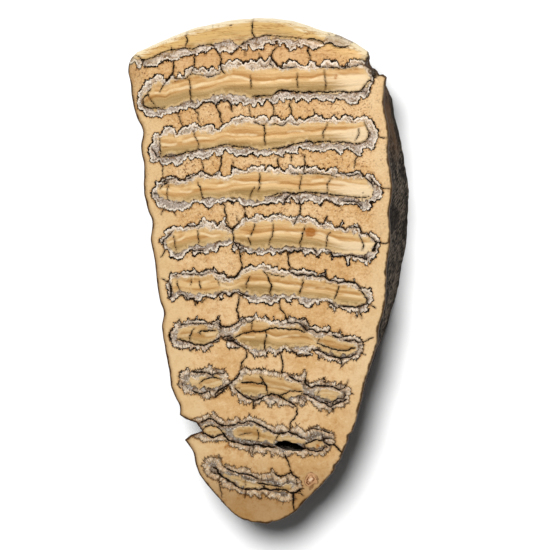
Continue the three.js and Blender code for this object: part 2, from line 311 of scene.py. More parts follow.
PLATES = {
    "first": {
        "enamel": [
            (-40, 58.4), (-37, 58.2), (-36.2, 58.6), (-34.9, 56.4), (-33.9, 58.2), (-33.1, 57),
            (-31.6, 57.4), (-30.8, 57.1), (-29.1, 57.9), (-28.7, 58.8), (-28, 58.2), (-26.8, 59.5),
            (-26.6, 59), (-25.1, 58.6), (-21.9, 60.1), (-20.6, 60), (-19.9, 60.5), (-18.4, 60.1),
            (-16.7, 61.6), (-16, 60.5), (-14.2, 62.1), (-13.2, 62), (-11.7, 60.8), (-10.5, 61.5),
            (-10, 60.8), (-8.3, 60.4), (-7.3, 61.6), (-6.3, 62.3), (-4.6, 61), (-3.6, 62.5),
            (-2.1, 61.1), (-1.1, 62), (-0.2, 61.4), (0.4, 61.4), (1.1, 63.1), (2.3, 63.5), (3.2, 62.5),
            (4.4, 63.7), (5, 62.3), (6.2, 63.2), (7.7, 61), (9.5, 61.3), (9.9, 62.4), (11.2, 61.6),
            (11.8, 62.7), (14.4, 61.3), (15.9, 61.5), (17.8, 62.7), (19.5, 62.9), (20.5, 62),
            (22.4, 61.6), (23.9, 61.9), (24.8, 62.9), (30, 66), (20, 75), (0, 80), (-30, 75), (-45, 65),
        ],
        "cores": [
            [
                (-41, 61), (-36.3, 60.2), (-33, 59.2), (-31, 59.8), (-29, 60.9), (-21.5, 62.6),
                (-20, 61.9), (-17.5, 63.1), (-13.7, 63.2), (-10.5, 64.5), (-8, 64.5), (-6.3, 63),
                (-3.3, 64.7), (-2, 65.1), (0, 65.2), (2.3, 65.3), (8, 64.6), (15, 64.3), (17, 63.8),
                (18, 65.5), (20, 65.2), (22, 68), (20, 75), (0, 80), (-30, 75), (-45, 65),
            ],
        ],
    },
    "second": {
        "enamel": [
            (-35.3, 49), (-35, 50.3), (-33.2, 52.6), (-33.2, 53.4), (-32.3, 53.5), (-30, 54.9),
            (-28.5, 55.1), (-27, 53), (-25.5, 55), (-24.4, 54), (-23.4, 55.4), (-22.5, 54.2),
            (-21.3, 56.5), (-20.2, 57.2), (-19.3, 57.1), (-18.4, 56.2), (-16.9, 57.1), (-15.9, 56.7),
            (-15.1, 55.7), (-14.1, 57), (-12.2, 56), (-12, 57), (-11.6, 57.5), (-9, 58.5), (-8, 58.3),
            (-7.3, 59), (-6.2, 58.8), (-5, 57.8), (-4.5, 58.4), (-4, 57.9), (-2.8, 59), (-1.5, 58.1),
            (-0.4, 59.1), (0.9, 58.3), (2.3, 59.5), (4, 57.8), (4.3, 57), (5.5, 56.3), (6.1, 57.8),
            (7, 57.7), (7.6, 58.4), (9.8, 58.3), (10.4, 57.1), (12.3, 56.8), (13.1, 56.9), (13.5, 58.3),
            (14.6, 58.1), (15.7, 56.5), (16.5, 56.7), (17.6, 58.5), (19.2, 58.3), (19.6, 57.7),
            (20.2, 58.3), (20.9, 58.2), (21.5, 56.9), (23.1, 56.3), (24.7, 58.3), (26, 58.6),
            (28.5, 58), (30.5, 58.6), (31.6, 56), (31.2, 52.4), (29.3, 47.6), (28.6, 47.4),
            (27.5, 48.1), (27.1, 46.2), (26.5, 46), (24.5, 46), (22.8, 47.4), (21.5, 47.4),
            (20.9, 47.7), (20.3, 46.4), (18.2, 47.5), (17.2, 46.4), (15.3, 47.8), (14.5, 48),
            (13.8, 46.8), (13.2, 46.5), (11.4, 47.9), (10, 46.6), (9, 47.8), (8, 47.3), (7.2, 48),
            (6, 46.7), (5, 47.5), (4, 46.4), (3.4, 46.3), (1.6, 47.6), (0, 45.8), (-1, 46.4),
            (-2.2, 45.7), (-3.3, 46.3), (-5, 46), (-5.7, 46.8), (-6.8, 46.1), (-7.5, 46.7),
            (-8.4, 45.9), (-9.5, 47.4), (-10.6, 47.1), (-11.3, 47.7), (-12.3, 46.6), (-13, 46.3),
            (-14, 47.1), (-16.5, 47), (-18.9, 45), (-20.5, 45.8), (-21.8, 44.8), (-22.7, 45.5),
            (-23.7, 44.4), (-27.9, 43.7), (-28.5, 43), (-32, 43.2), (-33.1, 43.7), (-33.9, 44.8),
            (-35.4, 45.6), (-35.4, 47),
        ],
        "cores": [
            [
                (-33.9, 47.3), (-33.7, 48.7), (-33, 49.7), (-29.5, 53.2), (-28, 52), (-26, 52.5),
                (-25, 53.8), (-21.7, 53.8), (-19.9, 54.9), (-17.9, 54.8), (-14.4, 53.9), (-11.7, 55.1),
                (-7, 56.3), (-5, 56.3), (-2, 55.6), (2.5, 56.2), (4.5, 56.1), (6, 55.3), (9.5, 56),
                (15, 55.4), (16.5, 55.9), (23.2, 55.9), (27, 56.2), (28.5, 55.8), (29.5, 54.5),
                (30.1, 52.2), (27.3, 49.7), (25.5, 49.3), (8.5, 49.4), (6.4, 50.1), (1.5, 48.3),
                (-3, 48.4), (-9.5, 49.4), (-15.5, 48.5), (-17.5, 47.6), (-19.5, 47.1), (-21, 47.3),
                (-22.5, 47), (-27.5, 45.4), (-31.5, 45.5), (-32.8, 45.7), (-33.6, 46.3),
            ],
        ],
    },
    "third": {
        "enamel": [
            (-32.2, 33.5), (-32.3, 34.6), (-30.9, 35.9), (-31.1, 36.7), (-30.9, 37.8), (-30.4, 38.6),
            (-29.6, 38.7), (-29, 38.4), (-27.8, 39.2), (-27.9, 40.1), (-27.4, 40.4), (-25.7, 40.5),
            (-25, 40.2), (-24.1, 38.3), (-22.4, 40.4), (-21.2, 40.4), (-19.4, 41.4), (-16.5, 40.3),
            (-15.2, 40.9), (-13.8, 40.6), (-12.7, 39.5), (-12, 39.3), (-11, 40.6), (-9.1, 41.6),
            (-8, 42.6), (-5.5, 43.3), (-2.8, 42.6), (-2, 43), (-1.5, 42.6), (0.6, 43.3), (2.2, 42),
            (3.2, 43.1), (3.9, 43.3), (5.8, 41.7), (7, 42.1), (7.7, 43.2), (8.4, 43.1), (9.9, 41.6),
            (10.8, 42.6), (11.5, 41.8), (12.4, 41.9), (13.4, 42.7), (14.7, 42.8), (15.3, 43.4),
            (16.1, 42.8), (16.8, 42.9), (17.4, 41.9), (18.9, 42.2), (20.4, 42.9), (21, 42), (22, 42),
            (23.7, 43.3), (25.3, 42.6), (25.7, 41.8), (28.7, 42.9), (30.6, 41.8), (32.5, 38.6),
            (32.6, 37.5), (31.3, 33.4), (30.6, 33.2), (29.4, 34.1), (28.2, 33.6), (28.1, 31.9),
            (27.4, 31.8), (25.7, 32.5), (24.2, 34.1), (22.1, 32.1), (20.3, 33.7), (18.6, 33.5),
            (18, 33), (16.4, 32.8), (15.5, 33.3), (14.3, 33), (13.2, 33.5), (10.4, 34), (9.9, 32.5),
            (8.4, 32.4), (6.8, 32.8), (6, 31.8), (4.9, 31.9), (3.6, 32.7), (1.1, 31.6), (-0.2, 32.3),
            (-1.1, 31.7), (-1.7, 31.9), (-2.5, 32.9), (-4.8, 31.7), (-6, 32.1), (-6.9, 31.7),
            (-8.1, 32.5), (-8.8, 32.5), (-10.2, 33.8), (-10.9, 32.6), (-11.7, 32), (-12.5, 32),
            (-13.4, 33), (-15.2, 31.2), (-16.8, 31), (-18, 31.7), (-19.9, 31.2), (-20.9, 31.9),
            (-23, 29.7), (-24.1, 29.1), (-25.4, 30.3), (-27.1, 29.6), (-28.4, 29.4), (-29.2, 30.7),
            (-30.7, 30.1), (-31.3, 30.6), (-32, 32.3),
        ],
        "cores": [
            [
                (-29, 37.1), (-28, 37.8), (-25.9, 38.1), (-23.6, 38), (-17.7, 38.8), (-14, 38.3),
                (-11.3, 39.2), (-10.3, 40.2), (-8.3, 40.7), (-4.8, 41), (2.7, 40.3), (3.8, 41),
                (6.1, 40.2), (7.1, 40.7), (9, 40.3), (23, 41), (26.2, 40.4), (28.8, 41.1), (30, 38.2),
                (29.7, 36.8), (29, 35.8), (26.8, 35), (24.6, 35.4), (17.3, 35.9), (15.4, 35.3),
                (12.9, 36.2), (8.1, 35.1), (5.9, 34.3), (3.2, 34), (1.5, 34.2), (-2.1, 33.6),
                (-3.5, 34.4), (-6.1, 34.2), (-9.9, 35.2), (-15.2, 34), (-17.7, 33.9), (-20.2, 33.1),
                (-28.4, 32), (-29.1, 34.9),
            ],
        ],
    },
    "fourth": {
        "enamel": [
            (-31.5, 21.7), (-31.4, 22.4), (-30.9, 23.1), (-30.1, 23.4), (-30.1, 24.8), (-28.8, 24.9),
            (-28.5, 25.8), (-27.9, 26), (-27.4, 25.7), (-26.9, 26.4), (-24.4, 26.5), (-23.3, 25.2),
            (-22.6, 25.7), (-21.7, 25.3), (-21.3, 26.5), (-19.8, 26.6), (-19.3, 27.2), (-18.1, 27.1),
            (-16.9, 27.9), (-14.5, 26.4), (-13.2, 26.8), (-11.9, 28.3), (-11.5, 26.8), (-10.8, 26.2),
            (-9.2, 26.4), (-8.2, 27.6), (-8.5, 29.3), (-6.3, 28), (-5, 28.2), (-4.3, 27.7),
            (-2.8, 29.4), (-1.2, 28.9), (0.8, 29.3), (1, 28), (2.2, 29.2), (2.8, 29.3), (3.6, 28.2),
            (4.8, 29.2), (6.4, 27.3), (7.7, 29.3), (8.6, 29.3), (9.3, 28.2), (10.3, 28.9), (10.8, 28.4),
            (11.9, 29.2), (12.6, 29.2), (12.8, 28.1), (13.8, 28.8), (15.5, 29.1), (16.2, 28.1),
            (17.6, 28.1), (18.2, 27.7), (19.3, 28.5), (20.6, 28.9), (21.7, 27.1), (23, 27.2),
            (23.6, 26.9), (27.6, 27.6), (28.2, 26.1), (29.3, 26.7), (30.9, 26.7), (31.8, 25.2),
            (33.3, 23.6), (33.8, 21.3), (32.8, 19.7), (31.4, 19), (30.3, 19.1), (30.8, 17.6),
            (29.4, 16.4), (27.7, 17.2), (26.4, 18.3), (24.8, 18.5), (23.4, 18.2), (22.4, 18.7),
            (22, 17.6), (19.5, 19.2), (18, 19.8), (17.4, 19.4), (16.7, 18), (13.3, 19.6), (12.7, 19.1),
            (11.9, 19.1), (11.3, 18.5), (10, 18.6), (8.3, 20.5), (7.8, 18.9), (7, 19), (6.5, 18.4),
            (5.4, 18.8), (4.8, 19.4), (4.1, 18.7), (3.1, 18.6), (2.5, 18.9), (1.9, 18.4), (-0.2, 18.6),
            (-2.4, 17.6), (-3.5, 18.2), (-4.9, 17.7), (-6, 18.7), (-6.5, 19.6), (-7.3, 19.6),
            (-8, 18.2), (-8.6, 19.6), (-9, 19.7), (-10.3, 19.3), (-11.5, 18.5), (-12.5, 19.3),
            (-13.6, 18), (-15, 17.2), (-16.5, 18.9), (-19.3, 19.1), (-20.2, 17.7), (-22.5, 16.8),
            (-23.5, 17.1), (-24.9, 16.5), (-26.2, 16.9), (-26.9, 16.7), (-27.6, 17.7), (-28.1, 17),
            (-29.4, 18), (-31.2, 20.7),
        ],
        "cores": [
            [
                (-29.4, 22), (-29, 23.2), (-26.9, 24.6), (-23.9, 24), (-20.4, 24.4), (-18.2, 25.6),
                (-17, 25.9), (-9.8, 25), (-6.9, 26.7), (-1.9, 27.6), (-0.5, 27.3), (2.5, 27.4),
                (3.2, 26.7), (11, 26.4), (13.7, 26.8), (17.6, 26.5), (20.3, 25.7), (27.7, 25.3),
                (28.9, 24.9), (31.2, 22.2), (30.1, 20.5), (27.7, 19.9), (25.8, 20.4), (20, 20.9),
                (18.6, 21.5), (14.6, 21.5), (12.2, 21.9), (9.8, 21.5), (7.1, 21.8), (4.7, 21.4),
                (0, 19.9), (-3.4, 19.9), (-8, 20.9), (-16.7, 20.3), (-19.2, 19.6), (-23.1, 19.5),
                (-28.3, 20.5),
            ],
        ],
    },
    "fifth": {
        "enamel": [
            (-29.3, 8.1), (-29.1, 9), (-27.5, 9.7), (-27.5, 10.9), (-27, 11.6), (-25.4, 12.5),
            (-21.9, 12), (-20.2, 13.6), (-18.2, 12.6), (-16.4, 15), (-15.7, 14.7), (-14.8, 13.3),
            (-13.6, 14.1), (-12.7, 12.6), (-11.3, 14.1), (-10.3, 14.7), (-10.3, 13.6), (-9.9, 12.6),
            (-8.2, 11.8), (-6.7, 12.7), (-4.7, 15.4), (-4, 14.6), (-3.2, 14.6), (-1, 15.8), (0, 15.7),
            (1.1, 14.7), (2.3, 15.2), (3.4, 16.1), (3.9, 15.4), (4.4, 15.9), (5, 15.5), (5.6, 15.9),
            (7.5, 14.7), (8.3, 15.2), (8.5, 14.7), (11.1, 15.5), (11.6, 14.9), (13.4, 15.2),
            (13.9, 14.6), (14.8, 14.6), (15.4, 14.1), (16.2, 12.8), (17.6, 13.2), (18.3, 14.9),
            (18.4, 13.6), (18.8, 13.1), (19.3, 13.7), (20.6, 11.6), (21.8, 12.3), (22.6, 13.8),
            (22.3, 12.2), (23.5, 11.2), (24.6, 12.5), (27, 13), (27.1, 12.1), (28.1, 10.2),
            (29.8, 10.2), (30.6, 10.9), (32.9, 8.8), (33.1, 8.1), (31.9, 3.7), (31, 3.4), (30.5, 2.8),
            (30.2, 1.7), (29.3, 2.7), (29.1, 1.5), (28, 2.5), (26.7, 3.1), (26.4, 2.6), (25.1, 3.6),
            (24.4, 1.9), (24, 1.6), (23.4, 3.7), (20.2, 3.9), (19.8, 3.1), (19.4, 4.2), (18.4, 5.3),
            (18.1, 4.9), (16.8, 5.4), (15.9, 3.6), (14.1, 5.1), (12.2, 4.4), (11, 5.5), (10, 5.2),
            (9.3, 5.7), (8.7, 5), (7.9, 4.7), (6.5, 5.5), (5.4, 4.8), (4.2, 5.2), (3.8, 4.5),
            (3.2, 4.4), (2, 5.1), (0.6, 4.4), (-0.8, 4.3), (-2.1, 4.9), (-3.8, 4.9), (-4.8, 6),
            (-5.5, 4.5), (-6.4, 6.7), (-7.4, 4.8), (-8.2, 5.8), (-8.1, 7.6), (-10.4, 6.8), (-12, 6.8),
            (-12.7, 5), (-13.9, 5.2), (-14.4, 5.9), (-14.9, 5.2), (-16, 4.6), (-17.4, 5.4),
            (-19.1, 3.9), (-19.9, 5.9), (-21.1, 5.2), (-22.1, 3.9), (-23.5, 3), (-25.2, 3.6),
            (-26, 3.6), (-26, 5), (-27.5, 6.3), (-28.1, 7.3),
        ],
        "cores": [
            [
                (-27.1, 8.3), (-25.5, 9.8), (-25.1, 10.7), (-24, 11.3), (-16.3, 11.5), (-11.9, 11.2),
                (-8.2, 10.6), (-4.5, 13.3), (7.3, 13.7), (9, 12.7), (11.7, 13), (14.6, 12.5),
                (15.9, 11.8), (26, 10.2), (28.4, 9.2), (29.9, 9), (31.4, 7.6), (30.4, 5.8), (28.8, 4.4),
                (22.2, 5), (20, 5.4), (17.1, 6.4), (13.4, 6.7), (6.4, 6.8), (-1.6, 6), (-5.3, 7.3),
                (-9, 9), (-14.9, 7.5), (-20.8, 6.8), (-23.3, 5.3), (-24.3, 5.3), (-26.3, 6.1),
                (-26.9, 7.1),
            ],
        ],
    },
    "sixth": {
        "enamel": [
            (-27.2, -5), (-27.2, -4), (-25.5, -0.5), (-24.8, -0.9), (-24, -0.5), (-21.3, -0.2),
            (-20.8, 0.2), (-19.7, -0.1), (-19.3, 0.7), (-18.3, -0.3), (-16.5, -0.3), (-16, 0.4),
            (-15.6, 0), (-14, 0.4), (-13.6, 1.1), (-12.3, -0.7), (-11, -0.7), (-10.7, -0.3),
            (-9.9, -1.6), (-9.3, -2), (-7.6, -1.8), (-6.9, -1.3), (-5.9, 0.2), (-5.2, 0.7), (-3.9, 1),
            (-3.3, 1.9), (-2.3, 1.2), (-0.9, 1.3), (0.6, 2.3), (1.7, 1.5), (2.4, 1.5), (2.7, 0.9),
            (3.9, 0.8), (4.4, 1.3), (5, 0.1), (6.1, 0.6), (6.6, 0), (8, 0.2), (8.6, 0.7), (9.9, 0),
            (11.9, 0.5), (14.3, -0.2), (14.8, 0.1), (15.5, -1.3), (16.8, -0.8), (17.7, -0.8), (18, 0.1),
            (17.9, -1.4), (19, -2.5), (20.2, -2.1), (20.7, -1.5), (21.2, -2.2), (22.4, -2.2),
            (23.6, -3.1), (25.6, -3.1), (25.9, -2.5), (26.4, -3.4), (27.7, -4.4), (29.3, -4.9),
            (30.3, -4.8), (31.1, -6.9), (31, -8), (29.8, -9.9), (29.9, -10.6), (29.6, -11.1),
            (28.4, -11.4), (27.5, -12), (27, -11.1), (26.7, -12.3), (26, -11.4), (25.2, -10.9),
            (24.8, -11.6), (22.3, -10.3), (20.8, -10.2), (20.4, -11.6), (19.2, -9.7), (19, -8.7),
            (17, -8.3), (16.4, -8.6), (15.9, -9.4), (15.1, -8.7), (14.3, -9.4), (14.1, -10.1),
            (12.5, -10.2), (11.1, -9.3), (10.2, -7.9), (8.7, -7.6), (8, -9.2), (6, -7.4), (5.1, -8),
            (5, -9.1), (3.5, -8.9), (2.4, -9.7), (0.7, -8.7), (0, -8.6), (-0.7, -9.1), (-1.4, -9.1),
            (-2.1, -8.7), (-3.4, -9.2), (-3.9, -7.9), (-7, -6.1), (-7.7, -6.1), (-9.1, -7),
            (-10.4, -6.2), (-11.4, -8.2), (-12.3, -6.8), (-13.5, -7.8), (-14.4, -7.7), (-15, -7.2),
            (-16, -7.3), (-17, -7.8), (-18.3, -9), (-19.3, -7.8), (-21.2, -8.1), (-22.3, -7.1),
            (-23.5, -7), (-25.3, -8.8), (-26.5, -7.7), (-26.6, -5.5),
        ],
        "cores": [
            [
                (-25.7, -4.2), (-25.5, -2.8), (-24.5, -2), (-14.1, -1.8), (-9.7, -3.7), (-8.2, -3.4),
                (-5, -0.8), (-4, -0.4), (0, 0.1), (5.4, -1.5), (17.3, -2.8), (20, -3.8), (24.6, -4.5),
                (27.2, -5.3), (28.8, -6.9), (29.1, -7.8), (28.6, -8.7), (26.5, -9.8), (21.9, -8.8),
                (19, -7.8), (7.3, -6.5), (-0.5, -6.8), (-2.4, -6.6), (-7.6, -5.2), (-10, -5.2),
                (-12.5, -5.9), (-17.5, -6.6), (-22.2, -5.6), (-24.7, -5.9), (-25.3, -5.3),
            ],
        ],
    },
    "seventh": {
        "enamel": [
            (-25.9, -19.6), (-26.3, -18.4), (-24.8, -15.1), (-24.9, -14.5), (-24.2, -14.7),
            (-23.4, -13.9), (-23.2, -14.8), (-21.6, -14.3), (-20.8, -13.1), (-20.3, -14.1),
            (-19, -13.8), (-18.3, -12.8), (-18, -13.8), (-16.4, -13.8), (-15, -14.6), (-14.3, -14.7),
            (-12.8, -13.9), (-12.3, -12.4), (-11.7, -15.3), (-10.2, -15.7), (-8.3, -15.4),
            (-6.7, -14.4), (-6.4, -13.6), (-6.5, -12.6), (-5.9, -13.2), (-2.6, -12.9), (-1.6, -11.7),
            (-1.4, -12.7), (0.7, -13.3), (1.2, -12.5), (2.3, -13.9), (3.4, -13.9), (3.5, -12.6),
            (3.9, -13.7), (5.8, -14.2), (6.8, -13.4), (7.5, -13.5), (8, -12.6), (8.4, -13.3),
            (9.2, -12.9), (9.5, -13.7), (12.3, -12.9), (13.4, -15.5), (14, -15.7), (15.1, -15),
            (16.2, -15.9), (17.3, -15.8), (18.7, -15.2), (19.2, -15.9), (18.9, -16.6), (19.7, -17.2),
            (21.5, -17.3), (22, -15.9), (22.1, -17.2), (22.6, -18.1), (26.2, -18), (27.6, -18.8),
            (28.5, -20.4), (27.5, -23.6), (26.9, -24.2), (23.6, -25), (22.6, -26.4), (20.9, -24.8),
            (19.2, -25.1), (16.5, -23.9), (14.2, -21.6), (13.6, -22.5), (14.1, -23.2), (12.2, -23.6),
            (11.3, -23.2), (10, -23.4), (9.4, -22.6), (7.8, -22.5), (6.5, -21.6), (3.9, -23.7),
            (3.3, -23), (1.5, -22.6), (0.9, -24), (0, -23.3), (-1, -23.9), (-1.8, -23.9), (-2.6, -23.5),
            (-3.9, -21.9), (-5.6, -21.1), (-9.4, -21.6), (-10, -19.4), (-11.4, -18.4), (-16.1, -22.6),
            (-17.5, -21.9), (-18.3, -22.2), (-18.8, -21.5), (-20.1, -22), (-20.7, -21.6),
            (-23.2, -21.9), (-25.3, -20.8),
        ],
        "cores": [
            [
                (-23.9, -18.4), (-23.5, -17.2), (-22.9, -16.5), (-19.4, -15.5), (-17.4, -15.5),
                (-14, -16), (-12.8, -16.4), (-12, -17.3), (-12.3, -18.4), (-15.7, -20.5),
                (-17.2, -20.6), (-21.4, -19.4), (-23.5, -19.2),
            ],
            [
                (-7.5, -18.7), (-7.1, -17.3), (-3.9, -14.6), (-1, -14), (1, -14.2), (2.4, -15),
                (5.3, -15.6), (9, -15.9), (10.5, -15.7), (15.2, -18.9), (18.2, -18.2), (19.9, -18.6),
                (22.8, -19.8), (25.5, -20.4), (26.7, -21.6), (26, -22.5), (25, -23.1), (22.1, -23.4),
                (17.5, -22), (14, -20.4), (11, -21), (8, -21.2), (6.5, -21), (4.2, -21.9), (2.5, -21.2),
                (0, -21.2), (-1.5, -21.6), (-3.2, -21.5), (-6.5, -19.5),
            ],
        ],
    },
    "eighth": {
        "enamel": [
            (-23.7, -31.7), (-23, -29.2), (-23.3, -28.5), (-21.6, -27.8), (-21, -27.2), (-20.4, -27.8),
            (-19, -28), (-15.2, -26.9), (-14.7, -26.4), (-14, -26.9), (-13.8, -27.8), (-11.7, -27.6),
            (-11, -27.1), (-9.8, -28.5), (-9.3, -30.6), (-8.6, -30.7), (-6.9, -29.5), (-5.8, -27.6),
            (-4.5, -27), (-3, -27.7), (-1.4, -27.1), (-0.2, -27.7), (0.5, -27.2), (1.2, -28),
            (1.9, -27.5), (2.7, -28), (5.4, -28.4), (6.6, -28.3), (8.1, -29.2), (9.5, -28.5),
            (10.3, -29.2), (11.1, -29.1), (12.2, -27.7), (12.7, -28.4), (12.2, -29.4), (12.8, -31.1),
            (14.1, -31.2), (14.8, -30.5), (15.5, -30.7), (17.1, -29.7), (17.6, -30), (17.3, -30.8),
            (17.8, -31.4), (19, -30.7), (20.7, -30.9), (21, -31.6), (23.9, -31.7), (24.8, -32.9),
            (24.9, -33.7), (24.1, -36.2), (23.4, -37.2), (22.8, -37.7), (21, -37.6), (19.3, -39.1),
            (17, -37.8), (16.6, -38.7), (15.4, -38.1), (14.2, -36.4), (13.4, -35.9), (12.5, -35.8),
            (11.5, -37.8), (10.3, -36.7), (9.7, -36.5), (9.3, -37.7), (7.8, -37.6), (5.6, -37),
            (5.1, -37.8), (3.9, -36.6), (2.5, -37.8), (1.9, -37.6), (0.6, -35.7), (-2.1, -37.7),
            (-2.3, -36.4), (-5.1, -37.2), (-5.7, -36.1), (-6.1, -36.9), (-6.4, -35.4), (-7, -34.2),
            (-8, -34.8), (-9.1, -31.8), (-9.9, -32.4), (-10.2, -33), (-13.4, -35.2), (-14.4, -34.7),
            (-14.7, -35.6), (-15.7, -35.6), (-16.3, -36), (-16.9, -34.8), (-18.4, -34.3), (-20, -34.5),
            (-20.7, -34.1), (-21.5, -34.5), (-23.5, -32),
        ],
        "cores": [
            [
                (-21, -31), (-20.4, -30.3), (-15.9, -29.7), (-12.7, -29.8), (-11.7, -30.2),
                (-11.1, -31.1), (-11.7, -31.8), (-14.2, -32.7), (-15.7, -32.8), (-20.1, -32.1),
            ],
            [
                (-7.8, -32.4), (-5.3, -29.4), (-4.3, -28.9), (0, -28.8), (3.4, -29.2), (4.9, -29.1),
                (7.8, -31), (9.8, -31.3), (11, -32.4), (11.5, -33.4), (10.3, -34.5), (6.4, -35.4),
                (4.9, -34.6), (-5.1, -34.6), (-7, -33.1),
            ],
            [
                (15.4, -34.1), (15.8, -33.1), (17.3, -32.8), (19.3, -33), (22.2, -33.9), (22.4, -34.5),
                (20, -35.7), (16.6, -35.1),
            ],
        ],
    },
    "ninth": {
        "enamel": [
            (-23, -43.6), (-19.4, -41.4), (-17.7, -40.9), (-16.9, -41.1), (-15.2, -39.8),
            (-14.4, -40.8), (-13.7, -39.3), (-12.7, -40.5), (-10.3, -42.2), (-8.8, -41.4), (-8, -41.7),
            (-7, -40.9), (-6.4, -41.5), (-4.6, -41.1), (-3.7, -40.6), (-3.4, -40), (-2.6, -40.8),
            (0.1, -41.5), (0.9, -42.3), (2.9, -43.4), (5.8, -42.7), (7.1, -43.8), (7.8, -44),
            (10.1, -42.8), (10.6, -43.6), (12.2, -44.5), (13.9, -43.8), (14.8, -43.1), (16.8, -43.4),
            (18.5, -44.4), (20.1, -44.6), (20, -45.6), (20.6, -47), (18.6, -49.9), (17.3, -50.7),
            (17.1, -51.4), (16.1, -51), (14.8, -51.4), (14.2, -51), (13.4, -51.3), (12.9, -50.6),
            (12, -51.8), (11.4, -52), (9.4, -50.4), (7.3, -51.6), (7.1, -52.1), (6.4, -51.5),
            (5.1, -51.6), (3.7, -50.7), (2.9, -51.5), (1.9, -50.1), (1.2, -49.8), (0.8, -51.4),
            (-1.1, -50.2), (-2.8, -51.4), (-3.2, -50.3), (-6.1, -49.8), (-7, -49.2), (-8.9, -48.8),
            (-9.3, -48), (-10.5, -46.9), (-12.7, -47.8), (-15.7, -47.4), (-16.7, -48), (-17.2, -47.4),
            (-19.6, -46.3), (-20.5, -45.6), (-23, -45),
        ],
        "cores": [
            [
                (-16.9, -44.4), (-15.9, -43.4), (-14.7, -43), (-13.2, -43.2), (-11.7, -44),
                (-11, -44.8), (-13.2, -46.2), (-15.4, -45.4),
            ],
            [
                (-8, -45), (-7.3, -44), (-5.8, -43.4), (-1.9, -43.2), (0.8, -44.9), (2.5, -45.6),
                (8.3, -46.1), (10.3, -46.6), (11.7, -47.5), (9.5, -47.8), (7.3, -47.3), (-3.9, -47.1),
                (-5.9, -46.7), (-7.4, -46),
            ],
            [
                (12.1, -48.2), (15.1, -46.8), (16.6, -47), (17.6, -47.6), (17.1, -48.3), (15.9, -48.8),
                (13.4, -48.6),
            ],
        ],
    },
    "tenth": {
        "enamel": [
            (-17.3, -54.4), (-16.1, -52.8), (-15.4, -52.3), (-14.4, -52.1), (-12.6, -52.4),
            (-12.4, -51.5), (-11.3, -54.4), (-10.8, -54.7), (-10.3, -54), (-9.7, -54.5), (-8, -54.8),
            (-7.4, -55.3), (-6.5, -54.9), (-3.8, -55.2), (-3.2, -56.2), (-1.6, -56.8), (-0.6, -56.9),
            (2.4, -56.2), (2.8, -55.4), (5, -57.5), (6.7, -57), (8, -56.1), (8.7, -56.9), (10.2, -57.8),
            (11, -59.8), (10.8, -60.8), (9.2, -61.6), (8.4, -62.6), (8.9, -63.3), (8.3, -64),
            (6.3, -64.4), (5.5, -64.4), (4.1, -63.6), (3.3, -63.8), (2.7, -63.1), (1.9, -63.9),
            (1, -62.5), (-0.3, -62), (-0.8, -63.2), (-1.6, -63.1), (-2.3, -62.5), (-3.5, -63.1),
            (-4.3, -62.5), (-5.8, -62.3), (-7.5, -61.4), (-9.2, -61.2), (-11.2, -60.4), (-12.6, -58.3),
            (-14.1, -58.4), (-15.1, -57.9), (-16.6, -56.2), (-16.2, -55.5), (-17.1, -54.7),
        ],
        "cores": [
            [
                (-10.9, -57), (-8, -58.1), (-5, -58.4), (-1.8, -59.3), (5.3, -60.2), (6.3, -59.7),
                (7.5, -59.6), (9.4, -60.6), (8.4, -61.4), (2.3, -60.6), (-1.6, -60.8), (-4.8, -60.6),
                (-10.4, -57.7),
            ],
        ],
    },
}

# =============================================================================================
# The drying cracks. They run through the cement from plate to plate, along the edges of the
# enamel and across the dentine, and are dark with dirt. Each is half its width and its middle
# line. Near the tip one crack has opened into a deep fissure.
# =============================================================================================

